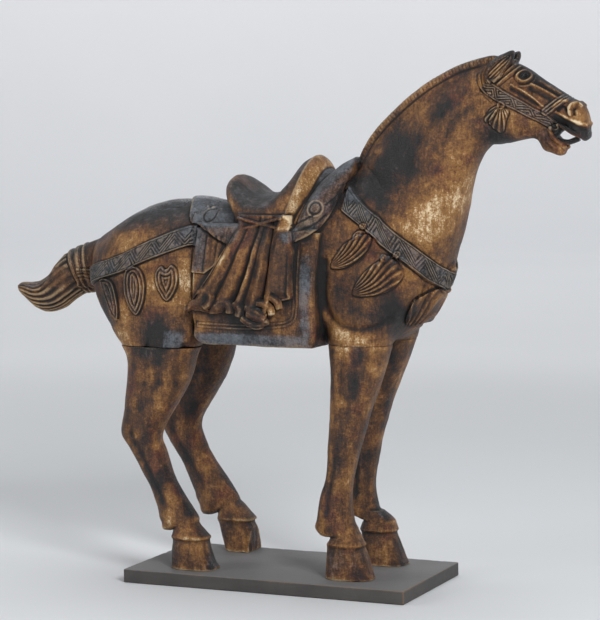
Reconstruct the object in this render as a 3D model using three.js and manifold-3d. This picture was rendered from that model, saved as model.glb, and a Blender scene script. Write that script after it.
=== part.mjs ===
import * as THREE from 'three';
import { mergeVertices } from 'three/addons/utils/BufferGeometryUtils.js';
import Module from 'manifold-3d';

// A carved wooden horse on a board. +X is toward the head, -Y is the horse's right side, +Z is up.
// The origin is the centre of the board's underside. Sizes are in millimetres.

const wasm = await Module();
wasm.setup();

// Board
const BOARD_LENGTH = 430;
const BOARD_WIDTH = 234;
const BOARD_THICK = 20;

// Joints between the glued blocks
const GAP = 0.3;
const HOOF_BASE = BOARD_THICK + GAP;
const HIND_SEAM = 340;
const FORE_SEAM = 353;

// Saddle, cloth and straps
const SEAT_RIM = 532;
const SEAT_HALF = 76;
const FLAP_OUT = 96;
const FLAP_REAR = -116;
const FLAP_FRONT = 75;
const FLAP_TOP = 512;
const FLAP_BOTTOM = 348;
const FLAP_CORNER = 20;
const FLAP_EDGE = 4;
const CLOTH_OUT = 108;
const FOLDS = 6;
const STRAP_WIDE = 28;
const STRAP_PROUD = 4;
const STRAP_SUNK = 9;
const LEAF_PROUD = 7;

// Mane and ears
const MANE_HALF = 7;
const EAR_ROOT = [298, 19, 727];
const EAR_TIP = [333, 13, 765];
const EAR_HALF = 11;

// A distance beyond the whole figure, for cutting and for looking at it from outside.
const FAR = 600;

// Barrel, rump and chest: the back and the belly line, and half the breadth between them.
const TRUNK = [
  { top: [-306, 480], under: [-304, 420], half: 26, rise: 0 },
  { top: [-296, 492], under: [-292, 392], half: 50, rise: 0 },
  { top: [-272, 507], under: [-270, 360], half: 68, rise: 0.05 },
  { top: [-236, 529], under: [-236, 342], half: 80, rise: 0.08 },
  { top: [-190, 546], under: [-190, 338], half: 86, rise: 0.08 },
  { top: [-140, 547], under: [-140, 346], half: 87, rise: 0 },
  { top: [-80, 538], under: [-80, 353], half: 88, rise: -0.05 },
  { top: [-10, 536], under: [-10, 352], half: 88, rise: -0.05 },
  { top: [50, 556], under: [50, 346], half: 84, rise: -0.08 },
  { top: [105, 585], under: [110, 342], half: 76, rise: -0.14 },
  { top: [150, 580], under: [163, 352], half: 66, rise: -0.16 },
  { top: [190, 548], under: [200, 380], half: 54, rise: -0.1 },
  { top: [220, 516], under: [223, 412], half: 40, rise: 0 },
  { top: [237, 492], under: [237, 444], half: 20, rise: 0 },
];

// Neck: the crest line and the throat line, narrow at the crest.
const NECK = [
  { top: [70, 560], under: [230, 440], half: 60, taper: 0.35 },
  { top: [97, 590], under: [246, 480], half: 57, taper: 0.45 },
  { top: [113, 619], under: [256, 510], half: 50, taper: 0.5 },
  { top: [133, 645], under: [264, 542], half: 44, taper: 0.5 },
  { top: [160, 671], under: [271, 575], half: 38, taper: 0.48 },
  { top: [194, 696], under: [281, 607], half: 33, taper: 0.44 },
  { top: [231, 717], under: [298, 632], half: 30, taper: 0.36 },
  { top: [268, 738], under: [318, 638], half: 27, taper: 0.25 },
  { top: [300, 746], under: [332, 642], half: 24, taper: 0.15 },
];

// Skull, nose and upper lip: the face line and the line of cheek and palate.
const FACE = [
  { top: [284, 738], under: [298, 650], half: 18, taper: 0.1 },
  { top: [300, 749], under: [306, 637], half: 24, taper: 0.05 },
  { top: [322, 751], under: [322, 637], half: 27, taper: 0.1 },
  { top: [342, 743], under: [340, 640], half: 28, taper: 0.12 },
  { top: [357, 736], under: [356, 646], half: 25, taper: 0.15 },
  { top: [376, 724], under: [374, 650], half: 20, taper: 0.1 },
  { top: [396, 712], under: [390, 660], half: 17, taper: 0 },
  { top: [414, 701], under: [405, 659], half: 16, taper: -0.1 },
  { top: [427, 695], under: [417, 651], half: 17, taper: -0.05 },
  { top: [435, 687], under: [427, 644], half: 16, taper: 0 },
  { top: [440, 660], under: [438, 645], half: 8, taper: 0 },
];

// Lower jaw, from the cheek to the lip, and the tongue between the jaws.
const JAW = [
  { top: [330, 672], under: [326, 638], half: 19 },
  { top: [354, 668], under: [350, 642], half: 17 },
  { top: [380, 664], under: [366, 641], half: 13 },
  { top: [393, 659], under: [374, 628], half: 12 },
  { top: [398, 645], under: [386, 624], half: 11 },
  { top: [403, 635], under: [398, 621], half: 11 },
  { top: [408, 631], under: [404, 623], half: 7 },
];
const TONGUE = [
  { top: [384, 652], under: [381, 642], half: 7 },
  { top: [396, 645], under: [397, 637], half: 7 },
  { top: [410, 643], under: [411, 636], half: 6 },
  { top: [423, 648], under: [425, 641], half: 4 },
];

// Tail, bound at the root and swept back.
const TAIL = [
  { top: [-282, 492], under: [-290, 432], half: 24 },
  { top: [-306, 487], under: [-312, 410], half: 26 },
  { top: [-332, 479], under: [-332, 405], half: 26 },
  { top: [-356, 468], under: [-348, 396], half: 24 },
  { top: [-374, 450], under: [-366, 383], half: 23 },
  { top: [-388, 431], under: [-388, 375], half: 22 },
  { top: [-408, 419], under: [-408, 380], half: 20 },
  { top: [-434, 417], under: [-426, 394], half: 14 },
  { top: [-443, 413], under: [-441, 405], half: 6 },
];

// Mane: the top of the clipped ridge.
const MANE = [
  [99, 602], [111, 628], [127, 651], [148, 673], [174, 696], [205, 719],
  [245, 741], [277, 752], [300, 757], [314, 754],
];

// Legs: height, centre, half the length along the body and half the breadth across it.
const RIGHT_FORE = [
  { z: 500, x: 132, y: -30, long: 50, wide: 34 },
  { z: 455, x: 130, y: -38, long: 66, wide: 42 },
  { z: 400, x: 128, y: -44, long: 62, wide: 42 },
  { z: 362, x: 126, y: -50, long: 50, wide: 38 },
  { z: 313, x: 122, y: -55, long: 38, wide: 31 },
  { z: 262, x: 114, y: -58, long: 30, wide: 25 },
  { z: 210, x: 105, y: -59, long: 24, wide: 21 },
  { z: 172, x: 99, y: -59, long: 20, wide: 19 },
  { z: 134, x: 92, y: -59, long: 22, wide: 18 },
  { z: 104, x: 90, y: -59, long: 27, wide: 19 },
  { z: 91, x: 92, y: -59, long: 30, wide: 20 },
  { z: 84, x: 105, y: -59, long: 22, wide: 20 },
  { z: 74, x: 107, y: -59, long: 26, wide: 22 },
  { z: 46, x: 110, y: -58, long: 30, wide: 23 },
  { z: HOOF_BASE, x: 114, y: -58, long: 34, wide: 26 },
];
const LEFT_FORE = [
  { z: 500, x: 132, y: 30, long: 50, wide: 34 },
  { z: 455, x: 130, y: 38, long: 64, wide: 42 },
  { z: 400, x: 130, y: 44, long: 56, wide: 42 },
  { z: 362, x: 130, y: 50, long: 42, wide: 38 },
  { z: 315, x: 122, y: 56, long: 31, wide: 30 },
  { z: 262, x: 105, y: 62, long: 27, wide: 24 },
  { z: 208, x: 91, y: 65, long: 24, wide: 20 },
  { z: 161, x: 86, y: 66, long: 21, wide: 18 },
  { z: 130, x: 86, y: 66, long: 20, wide: 18 },
  { z: 104, x: 86, y: 66, long: 23, wide: 19 },
  { z: 92, x: 91, y: 66, long: 25, wide: 20 },
  { z: 84, x: 107, y: 66, long: 24, wide: 20 },
  { z: 70, x: 109, y: 66, long: 26, wide: 22 },
  { z: 45, x: 116, y: 65, long: 27, wide: 23 },
  { z: HOOF_BASE, x: 122, y: 65, long: 31, wide: 26 },
];
const RIGHT_HIND = [
  { z: 500, x: -196, y: -34, long: 64, wide: 34 },
  { z: 455, x: -198, y: -44, long: 84, wide: 42 },
  { z: 405, x: -193, y: -52, long: 86, wide: 44 },
  { z: 362, x: -182, y: -58, long: 72, wide: 42 },
  { z: 326, x: -177, y: -62, long: 53, wide: 37 },
  { z: 290, x: -181, y: -65, long: 47, wide: 31 },
  { z: 250, x: -194, y: -68, long: 38, wide: 26 },
  { z: 212, x: -207, y: -69, long: 31, wide: 22 },
  { z: 187, x: -198, y: -69, long: 25, wide: 20 },
  { z: 142, x: -172, y: -69, long: 21, wide: 18 },
  { z: 108, x: -154, y: -69, long: 26, wide: 19 },
  { z: 92, x: -149, y: -69, long: 30, wide: 20 },
  { z: 82, x: -147, y: -69, long: 29, wide: 19 },
  { z: 76, x: -132, y: -69, long: 21, wide: 20 },
  { z: 62, x: -130, y: -69, long: 27, wide: 22 },
  { z: 39, x: -128, y: -69, long: 30, wide: 23 },
  { z: HOOF_BASE, x: -123, y: -69, long: 35, wide: 25 },
];
const LEFT_HIND = [
  { z: 500, x: -196, y: 34, long: 64, wide: 34 },
  { z: 455, x: -198, y: 44, long: 84, wide: 42 },
  { z: 405, x: -190, y: 54, long: 78, wide: 44 },
  { z: 362, x: -178, y: 62, long: 66, wide: 42 },
  { z: 326, x: -176, y: 70, long: 54, wide: 36 },
  { z: 287, x: -182, y: 76, long: 45, wide: 31 },
  { z: 250, x: -197, y: 82, long: 37, wide: 26 },
  { z: 213, x: -214, y: 86, long: 31, wide: 22 },
  { z: 187, x: -208, y: 88, long: 27, wide: 20 },
  { z: 148, x: -184, y: 88, long: 24, wide: 18 },
  { z: 110, x: -160, y: 88, long: 30, wide: 19 },
  { z: 94, x: -155, y: 88, long: 33, wide: 20 },
  { z: 86, x: -151, y: 88, long: 35, wide: 19 },
  { z: 80, x: -131, y: 88, long: 25, wide: 20 },
  { z: 61, x: -124, y: 88, long: 29, wide: 22 },
  { z: 37, x: -115, y: 88, long: 31, wide: 23 },
  { z: HOOF_BASE, x: -108, y: 88, long: 33, wide: 25 },
];

// Seat: the ridge line of the saddle and half the spread of its skirts.
const SEAT = [
  { x: -96, top: 555, half: 26, foot: 528 },
  { x: -91, top: 576, half: 52, foot: 524 },
  { x: -79, top: 585, half: 68, foot: SEAT_RIM },
  { x: -65, top: 577, half: 75, foot: SEAT_RIM },
  { x: -47, top: 563, half: SEAT_HALF, foot: SEAT_RIM },
  { x: -24, top: 560, half: SEAT_HALF, foot: SEAT_RIM },
  { x: 2, top: 566, half: SEAT_HALF, foot: SEAT_RIM },
  { x: 21, top: 588, half: 74, foot: 528 },
  { x: 35, top: 608, half: 68, foot: 528 },
  { x: 48, top: 615, half: 56, foot: 545 },
  { x: 60, top: 605, half: 42, foot: 560 },
];

// ---------------------------------------------------------------- curves and skins

function between(list, read, t) {
  const i = Math.min(list.length - 2, Math.floor(t));
  const f = t - i;
  const p1 = read(list[i]);
  const p2 = read(list[i + 1]);
  const p0 = i > 0 ? read(list[i - 1]) : 2 * p1 - p2;
  const p3 = i + 2 < list.length ? read(list[i + 2]) : 2 * p2 - p1;
  const bend = (2 * p0 - 5 * p1 + 4 * p2 - p3) * f * f + (3 * p1 - p0 - 3 * p2 + p3) * f ** 3;
  return 0.5 * (2 * p1 + (p2 - p0) * f + bend);
}

function power(value, n) {
  return Math.sign(value) * Math.abs(value) ** (2 / n);
}

function toManifold(positions, triangles) {
  let geometry = new THREE.BufferGeometry();
  geometry.setAttribute('position', new THREE.BufferAttribute(new Float32Array(positions), 3));
  geometry.setIndex(triangles);
  geometry = mergeVertices(geometry, 1e-4);
  const mesh = new wasm.Mesh({
    numProp: 3,
    vertProperties: Float32Array.from(geometry.attributes.position.array),
    triVerts: Uint32Array.from(geometry.index.array),
  });
  return new wasm.Manifold(mesh);
}

// A closed skin over rings of points; each end is a fan to the middle of its ring.
function skin(rings) {
  const sides = rings[0].length;
  const points = rings.flat();
  const triangles = [];
  for (let r = 0; r + 1 < rings.length; r += 1) {
    for (let k = 0; k < sides; k += 1) {
      const a = r * sides + k;
      const b = r * sides + ((k + 1) % sides);
      triangles.push(a, b, b + sides, a, b + sides, a + sides);
    }
  }
  for (const end of [0, rings.length - 1]) {
    const middle = [0, 1, 2].map((c) => rings[end].reduce((s, p) => s + p[c], 0) / sides);
    points.push(middle);
    const m = points.length - 1;
    for (let k = 0; k < sides; k += 1) {
      const a = end * sides + k;
      const b = end * sides + ((k + 1) % sides);
      triangles.push(...(end === 0 ? [m, b, a] : [m, a, b]));
    }
  }
  let volume = 0;
  for (let i = 0; i < triangles.length; i += 3) {
    const [a, b, c] = [0, 1, 2].map((j) => new THREE.Vector3(...points[triangles[i + j]]));
    volume += a.dot(b.clone().cross(c));
  }
  if (volume < 0) {
    triangles.reverse();
  }
  return toManifold(points.flat(), triangles);
}

// A body swept through stations, each between an upper and an under point of the middle plane.
function spine(stations, { steps, sides, square = 2.2 }) {
  const rings = [];
  const last = stations.length - 1;
  for (let s = 0; s <= steps; s += 1) {
    const t = (last * s) / steps;
    const top = [0, 1].map((c) => between(stations, (p) => p.top[c], t));
    const under = [0, 1].map((c) => between(stations, (p) => p.under[c], t));
    const half = between(stations, (p) => p.half, t);
    const taper = between(stations, (p) => p.taper ?? 0, t);
    const rise = between(stations, (p) => p.rise ?? 0, t);
    const ring = [];
    for (let k = 0; k < sides; k += 1) {
      const turn = (2 * Math.PI * k) / sides;
      const up = power(Math.cos(turn), square);
      const out = power(Math.sin(turn), square) * half * (1 - taper * up);
      const share = 0.5 + 0.5 * (up + rise * (1 - up * up));
      const x = under[0] + (top[0] - under[0]) * share;
      const z = under[1] + (top[1] - under[1]) * share;
      ring.push([x, out, z]);
    }
    rings.push(ring);
  }
  return skin(rings);
}

// A leg or any post swept upright through level sections.
function post(stations, { steps, sides, square = 2.4 }) {
  const rings = [];
  const last = stations.length - 1;
  for (let s = 0; s <= steps; s += 1) {
    const t = (last * s) / steps;
    const at = (name) => between(stations, (p) => p[name], t);
    const ring = [];
    for (let k = 0; k < sides; k += 1) {
      const turn = (2 * Math.PI * (k + 0.5)) / sides;
      const x = at('x') + power(Math.cos(turn), square) * at('long');
      const y = at('y') + power(Math.sin(turn), square) * at('wide');
      ring.push([x, y, at('z')]);
    }
    rings.push(ring);
  }
  return skin(rings);
}

function box(low, high) {
  const size = high.map((v, c) => v - low[c]);
  const geometry = new THREE.BoxGeometry(...size);
  geometry.translate(...low.map((v, c) => v + size[c] / 2));
  geometry.deleteAttribute('normal');
  geometry.deleteAttribute('uv');
  const merged = mergeVertices(geometry);
  return toManifold([...merged.attributes.position.array], [...merged.index.array]);
}

function joined(parts) {
  return parts.reduce((a, b) => a.add(b));
}

// ---------------------------------------------------------------- finding the carved surface

function toGeometry(solid) {
  const mesh = solid.getMesh();
  const geometry = new THREE.BufferGeometry();
  geometry.setAttribute('position', new THREE.BufferAttribute(mesh.vertProperties, 3));
  geometry.setIndex(new THREE.BufferAttribute(mesh.triVerts, 1));
  return geometry;
}

function surfaceFinder(solid) {
  const target = new THREE.Mesh(toGeometry(solid), new THREE.MeshBasicMaterial());
  const caster = new THREE.Raycaster();
  return (from, toward) => {
    const start = new THREE.Vector3(...from);
    const heading = new THREE.Vector3(...toward).sub(start).normalize();
    caster.set(start, heading);
    const hit = caster.intersectObject(target)[0];
    return hit ? { point: hit.point.toArray(), out: hit.face.normal.toArray() } : null;
  };
}

// A band lying on the surface. The route gives, for each step, the heights of its two edges and
// a way to look at the surface at a height; lines between the edges keep the band on the curve.
function band(route) {
  const shift = (hit, d) => hit.point.map((v, c) => v + hit.out[c] * d);
  const rings = [];
  for (const { high, low, look } of route) {
    const hits = [0, 1 / 3, 2 / 3, 1].map((t) => find(...look(high + (low - high) * t)));
    if (hits.every((hit) => hit)) {
      const outer = hits.map((hit) => shift(hit, STRAP_PROUD));
      const inner = hits.map((hit) => shift(hit, -STRAP_SUNK)).reverse();
      rings.push([...outer, ...inner]);
    }
  }
  return skin(rings);
}

// ---------------------------------------------------------------- the body and its legs

const trunk = spine(TRUNK, { steps: 22, sides: 24, square: 2.3 });
const neck = spine(NECK, { steps: 12, sides: 20 });
const face = spine(FACE, { steps: 14, sides: 16, square: 2.3 });
const jaw = spine(JAW, { steps: 8, sides: 12 });
const tongue = spine(TONGUE, { steps: 4, sides: 8 });
const tail = spine(TAIL, { steps: 12, sides: 12 });

function wholeLeg(stations, grow) {
  const wider = stations.map((p) => ({ ...p, long: p.long + grow, wide: p.wide + grow }));
  return post(wider, { steps: stations.length + 3, sides: 14 });
}

// A leg block ends at the seam; the root above it belongs to the body, and the socket is the
// room the block takes out of the belly.
function splitLeg(stations, seam) {
  const whole = wholeLeg(stations, 0);
  const above = box([-FAR, -FAR, seam + GAP / 2], [FAR, FAR, FAR]);
  const below = box([-FAR, -FAR, 0], [FAR, FAR, seam - GAP / 2]);
  const taken = box([-FAR, -FAR, 0], [FAR, FAR, seam + GAP / 2]);
  return {
    root: whole.intersect(above),
    leg: whole.intersect(below),
    socket: wholeLeg(stations, GAP).intersect(taken),
  };
}

const rightFore = splitLeg(RIGHT_FORE, FORE_SEAM);
const leftFore = splitLeg(LEFT_FORE, FORE_SEAM);
const rightHind = splitLeg(RIGHT_HIND, HIND_SEAM);
const leftHind = splitLeg(LEFT_HIND, HIND_SEAM);

function maneRidge() {
  const rings = [];
  const steps = 16;
  for (let s = 0; s <= steps; s += 1) {
    const t = ((MANE.length - 1) * s) / steps;
    const [x, z] = [0, 1].map((c) => between(MANE, (p) => p[c], t));
    const [x2, z2] = [0, 1].map((c) => between(MANE, (p) => p[c], Math.min(MANE.length - 1, t + 0.02)));
    const [x1, z1] = [0, 1].map((c) => between(MANE, (p) => p[c], Math.max(0, t - 0.02)));
    const run = Math.hypot(x2 - x1, z2 - z1);
    const down = [(z2 - z1) / run, -(x2 - x1) / run];
    const at = (y, d) => [x + down[0] * d, y, z + down[1] * d];
    const w = MANE_HALF;
    rings.push([at(-w, 3), at(-w * 0.4, 0), at(w * 0.4, 0), at(w, 3), at(w + 5, 26), at(-w - 5, 26)]);
  }
  return skin(rings);
}

function ear(side) {
  const steps = 6;
  const sides = 8;
  const rings = [];
  for (let s = 0; s <= steps; s += 1) {
    const t = s / steps;
    const half = Math.max(0.6, EAR_HALF * Math.sin(Math.PI * (0.28 + 0.7 * t)));
    const [x, y, z] = EAR_ROOT.map((v, c) => v + (EAR_TIP[c] - v) * t);
    const ring = [];
    for (let k = 0; k < sides; k += 1) {
      const turn = (2 * Math.PI * k) / sides;
      const lift = Math.cos(turn) * half * 0.5;
      const out = Math.sin(turn) * half * 0.6;
      ring.push([x - lift, side * (y + out), z + lift]);
    }
    rings.push(ring);
  }
  return skin(rings);
}

function saddleSeat() {
  const rings = [];
  const steps = 16;
  const arc = 12;
  for (let s = 0; s <= steps; s += 1) {
    const t = ((SEAT.length - 1) * s) / steps;
    const at = (name) => between(SEAT, (p) => p[name], t);
    const ring = [];
    for (let k = 0; k <= arc; k += 1) {
      const turn = (Math.PI * k) / arc;
      const y = -power(Math.cos(turn), 2.2) * at('half');
      const z = at('foot') + power(Math.sin(turn), 1.9) * (at('top') - at('foot'));
      ring.push([at('x'), y, z]);
    }
    ring.push([at('x'), at('half') - 14, 490], [at('x'), -at('half') + 14, 490]);
    rings.push(ring);
  }
  return skin(rings);
}

function mudguard(side) {
  const rings = [];
  const levels = 9;
  for (let s = 0; s <= levels; s += 1) {
    const z = FLAP_BOTTOM + (FLAP_TOP - FLAP_BOTTOM) * (s / levels) ** 1.6;
    const low = Math.max(0, 1 - (z - FLAP_BOTTOM) / FLAP_CORNER);
    const high = Math.max(0, (z - 440) / (FLAP_TOP - 440));
    const round = FLAP_CORNER * (1 - Math.sqrt(1 - low * low));
    const rear = FLAP_REAR + round;
    const front = FLAP_FRONT - round * 0.3;
    const out = FLAP_OUT - 2 * low - 14 * high ** 1.6;
    const plan = [
      [front, 40],
      [front, out - FLAP_EDGE],
      [front - FLAP_EDGE, out],
      [rear + FLAP_EDGE, out],
      [rear, out - FLAP_EDGE],
      [rear, 40],
    ];
    rings.push(plan.map(([x, y]) => [x, side * y, z]));
  }
  return skin(rings);
}

// The hanging corner of the blanket behind the seat.
function rearPanel(side) {
  const levels = [
    { z: 520, rear: -122, front: -52, out: 92 },
    { z: 480, rear: -120, front: -60, out: 96 },
    { z: 448, rear: -118, front: -86, out: 99 },
  ];
  const rings = levels.map(({ z, rear, front, out }) => {
    const plan = [[front, 40], [front, out], [(rear + front) / 2, out + 2], [rear, out - 2], [rear, 40]];
    return plan.map(([x, y]) => [x, side * y, z]);
  });
  return skin(rings);
}

// The cloth drawn down from the seat, in folds that spread toward the hem.
function drape(side) {
  const count = FOLDS * 2;
  const rings = [];
  const levels = [
    { z: 524, rear: -46, front: 28, out: 92, wave: 1 },
    { z: 500, rear: -56, front: 31, out: CLOTH_OUT - 5, wave: 3 },
    { z: 440, rear: -94, front: 36, out: CLOTH_OUT, wave: 5 },
    { z: 402, rear: -126, front: 40, out: CLOTH_OUT + 1, wave: 6 },
    { z: 386, rear: -116, front: 34, out: CLOTH_OUT - 3, wave: 3 },
  ];
  for (const { z, rear, front, out, wave } of levels) {
    const ring = [];
    for (let k = 0; k <= count; k += 1) {
      const across = k / count;
      const edge = k % count === 0 ? 6 : 0;
      const fold = wave * (k % 2 === 0 ? 0 : 2);
      ring.push([rear + (front - rear) * across, side * (out - edge - fold), z - 6 * (1 - across)]);
    }
    ring.push([front, side * 60, z], [rear, side * 60, z - 6]);
    rings.push(ring);
  }
  return skin(rings);
}

function backPad() {
  const rear = [
    { top: [-152, 546], under: [-152, 480], half: 74 },
    { top: [-146, 552], under: [-146, 478], half: 86 },
    { top: [-110, 552], under: [-108, 478], half: 90 },
    { top: [-70, 549], under: [-66, 478], half: 90 },
  ];
  return spine(rear, { steps: 5, sides: 18, square: 2.4 });
}

function frontPad() {
  const front = [
    { top: [36, 566], under: [20, 508], half: 80 },
    { top: [62, 585], under: [44, 498], half: 87 },
    { top: [88, 600], under: [68, 506], half: 83 },
    { top: [103, 601], under: [88, 530], half: 66 },
  ];
  return spine(front, { steps: 5, sides: 18, square: 2.4 });
}

const horse = joined([
  trunk, neck, face, jaw, tongue, tail, maneRidge(), ear(1), ear(-1),
  rightFore.root, leftFore.root, rightHind.root, leftHind.root,
]);
const find = surfaceFinder(horse);

// Breast strap: round the shoulders and the chest, falling from the withers to the breastbone.
function breastStrap() {
  const route = [];
  const steps = 24;
  const pole = 120;
  for (let s = 0; s <= steps; s += 1) {
    const turn = Math.PI * (s / steps - 0.5) * 1.2;
    const fall = Math.abs(turn) / (0.6 * Math.PI);
    const high = 466 + 106 * fall ** 0.95;
    const away = [pole + FAR * Math.cos(turn), FAR * Math.sin(turn)];
    const look = (z) => [[...away, z], [pole, 0, z]];
    route.push({ high, low: high - STRAP_WIDE - 4 * fall, look });
  }
  return band(route);
}

// Crupper strap: along the flank from the saddle and under the tail.
function crupperStrap(side) {
  const route = [];
  const steps = 8;
  for (let s = 0; s <= steps; s += 1) {
    const t = s / steps;
    const x = -112 - 178 * t;
    const high = 514 - 62 * t;
    const look = (z) => [[x - 160 * t, side * FAR, z], [x, 0, z]];
    route.push({ high, low: high - STRAP_WIDE, look });
  }
  return band(route);
}

// A hanging leaf, broad above and pointed below, lying on the surface.
function leaf(side, x, z, width, length, lean) {
  const rings = [];
  for (const [t, spread, lift] of [[0, 0.45, 0.3], [0.35, 0.5, 1], [0.75, 0.38, 1], [1, 0.08, 0.3]]) {
    const cx = x + lean * t;
    const cz = z - length * t;
    const ring = [];
    for (const [u, proud] of [[-1, -5], [-0.7, lift], [0, lift * 1.2], [0.7, lift], [1, -5], [0, -8]]) {
      const px = cx + u * spread * width;
      const hit = find([px, side * FAR, cz], [px, 0, cz]);
      const reach = Math.abs(hit ? hit.point[1] : 30) + (proud > 0 ? proud * LEAF_PROUD : proud);
      ring.push([px, side * reach, cz]);
    }
    rings.push(ring);
  }
  return skin(rings);
}

// The leaf that hangs from the middle of the breast strap, on the front of the chest.
function chestLeaf() {
  const rings = [];
  for (const [z, x, half] of [[446, 240, 12], [428, 236, 21], [404, 228, 18], [380, 206, 4]]) {
    const plan = [[-half, 186], [-half, x - 4], [0, x + 1], [half, x - 4], [half, 186]];
    rings.push(plan.map(([y, px]) => [px, y, z]));
  }
  return skin(rings);
}

const trappings = [backPad(), frontPad(), saddleSeat(), breastStrap(), chestLeaf()];
for (const side of [-1, 1]) {
  trappings.push(mudguard(side), rearPanel(side), drape(side), crupperStrap(side));
  trappings.push(leaf(side, 112, 506, 46, 44, 6));
  trappings.push(leaf(side, 152, 486, 50, 56, 10));
  for (const [x, z] of [[-176, 462], [-216, 452], [-250, 444]]) {
    trappings.push(leaf(side, x, z, 30, 50, 4));
  }
}
const sockets = joined([rightFore, leftFore, rightHind, leftHind].map((leg) => leg.socket));
const horseBody = joined([horse, ...trappings]).subtract(sockets);

const halfLength = BOARD_LENGTH / 2;
const halfWidth = BOARD_WIDTH / 2;
const boardBlank = box([-halfLength, -halfWidth, 0], [halfLength, halfWidth, BOARD_THICK]);

// ---------------------------------------------------------------- nodes

const gilt = { color: 0x6b4a26, roughness: 0.5, metalness: 0.25 };
const board = { color: 0x3a3835, roughness: 0.8, metalness: 0 };

function node(name, solid, finish) {
  const mesh = new THREE.Mesh(toGeometry(solid), new THREE.MeshStandardMaterial(finish));
  mesh.name = name;
  return mesh;
}

const group = new THREE.Group();
group.name = 'standing_horse';
group.add(
  node('horse_body', horseBody, gilt),
  node('right_foreleg', rightFore.leg, gilt),
  node('left_foreleg', leftFore.leg, gilt),
  node('right_hindleg', rightHind.leg, gilt),
  node('left_hindleg', leftHind.leg, gilt),
  node('plinth', boardBlank, board),
);

export default group;
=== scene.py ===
"""A carved and gilded wooden horse on a board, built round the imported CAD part.

Sculpting is done in millimetres in the row frame and scaled to metres when a mesh is made.
+X is toward the head, -Y is the horse's right side, +Z is up.
"""

import math

import bpy
import numpy as np
import openvdb as vdb
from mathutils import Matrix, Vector


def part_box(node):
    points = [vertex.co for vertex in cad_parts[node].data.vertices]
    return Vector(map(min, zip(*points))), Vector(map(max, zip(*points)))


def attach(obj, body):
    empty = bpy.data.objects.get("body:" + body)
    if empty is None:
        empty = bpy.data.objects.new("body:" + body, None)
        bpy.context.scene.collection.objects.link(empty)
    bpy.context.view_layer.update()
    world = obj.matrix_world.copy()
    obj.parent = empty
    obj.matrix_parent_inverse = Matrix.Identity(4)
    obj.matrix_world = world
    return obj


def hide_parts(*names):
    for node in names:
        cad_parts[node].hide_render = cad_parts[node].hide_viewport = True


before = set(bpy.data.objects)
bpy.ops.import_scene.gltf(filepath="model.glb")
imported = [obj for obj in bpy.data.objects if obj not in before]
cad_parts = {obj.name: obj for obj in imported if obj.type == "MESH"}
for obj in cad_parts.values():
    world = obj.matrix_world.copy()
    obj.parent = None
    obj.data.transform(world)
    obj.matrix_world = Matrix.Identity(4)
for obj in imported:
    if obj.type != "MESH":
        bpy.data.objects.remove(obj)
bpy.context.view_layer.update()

MM = 0.001
BODY_PITCH = 1.05
LEG_PITCH = 1.05
FINE_BLUR = 10
BROAD_BLUR = 40
BAND = 24.0
REACH = 20.0
MOST_TRIANGLES = 196000
LEG_TRIANGLES = 60000

BOARD_LOW, BOARD_HIGH = (np.array(corner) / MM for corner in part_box("plinth"))
BOARD_TOP = float(BOARD_HIGH[2])
HOOF_BASE = BOARD_TOP + 0.3
FORE_SEAM = float(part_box("right_foreleg")[1][2]) / MM
HIND_SEAM = float(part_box("right_hindleg")[1][2]) / MM
SEAM_GAP = 0.35

# ------------------------------------------------------------------ sizes of the carving
# Stations of a body swept along the middle plane:
# upper x, upper z, under x, under z, half breadth, taper toward the top, rise of the widest line.
TRUNK = [
    (-306, 480, -304, 420, 26, 0, 0),
    (-296, 492, -292, 392, 50, 0, 0),
    (-272, 507, -270, 360, 68, 0, 0.05),
    (-236, 529, -236, 342, 80, 0, 0.08),
    (-190, 546, -190, 338, 86, 0, 0.08),
    (-140, 547, -140, 346, 87, 0, 0),
    (-80, 538, -80, 353, 88, 0, -0.05),
    (-10, 536, -10, 352, 88, 0, -0.05),
    (50, 556, 50, 346, 84, 0, -0.08),
    (105, 585, 110, 350, 76, 0, -0.14),
    (150, 580, 163, 356, 66, 0, -0.16),
    (190, 548, 200, 380, 54, 0, -0.1),
    (220, 516, 223, 412, 40, 0, 0),
    (237, 492, 237, 444, 20, 0, 0),
]
NECK = [
    (70, 560, 230, 440, 60, 0.35, 0),
    (97, 590, 246, 480, 57, 0.45, 0),
    (113, 619, 256, 510, 50, 0.5, 0),
    (133, 645, 264, 542, 44, 0.5, 0),
    (160, 671, 271, 575, 38, 0.48, 0),
    (194, 696, 281, 607, 33, 0.44, 0),
    (231, 717, 298, 632, 30, 0.36, 0),
    (268, 738, 318, 638, 27, 0.25, 0),
    (300, 746, 332, 642, 24, 0.15, 0),
]
FACE = [
    (284, 738, 298, 650, 18, 0.1, 0),
    (300, 749, 306, 637, 24, 0.05, 0),
    (322, 751, 322, 637, 27, 0.1, 0),
    (342, 744.5, 340, 640, 27, 0.1, 0),
    (357, 737, 356, 646, 24, 0.2, 0),
    (376, 724.5, 374, 652, 20, 0.25, 0),
    (396, 712, 390, 663, 17, 0.1, 0),
    (414, 701, 404, 661, 16, -0.1, 0),
    (427, 695, 417, 653, 17, -0.05, 0),
    (435, 687, 427, 645, 16.5, 0, 0),
    (440, 672, 434, 641, 14, 0, 0),
    (441, 660, 440, 644, 8, 0, 0),
]
JAW = [
    (330, 672, 326, 638, 19, 0, 0),
    (354, 668, 350, 642, 17, 0, 0),
    (378, 664, 366, 641, 13, 0, 0),
    (391, 659, 375, 628, 12, 0, 0),
    (397, 645, 386, 624, 11, 0, 0),
    (403, 636, 398, 620, 11, 0, 0),
    (408, 632, 405, 622, 7, 0, 0),
]
TONGUE = [
    (380, 654, 378, 640, 7, 0, 0),
    (394, 646, 395, 637, 7, 0, 0),
    (409, 642, 410, 635, 6, 0, 0),
    (424, 648, 427, 641, 4, 0, 0),
]
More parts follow.
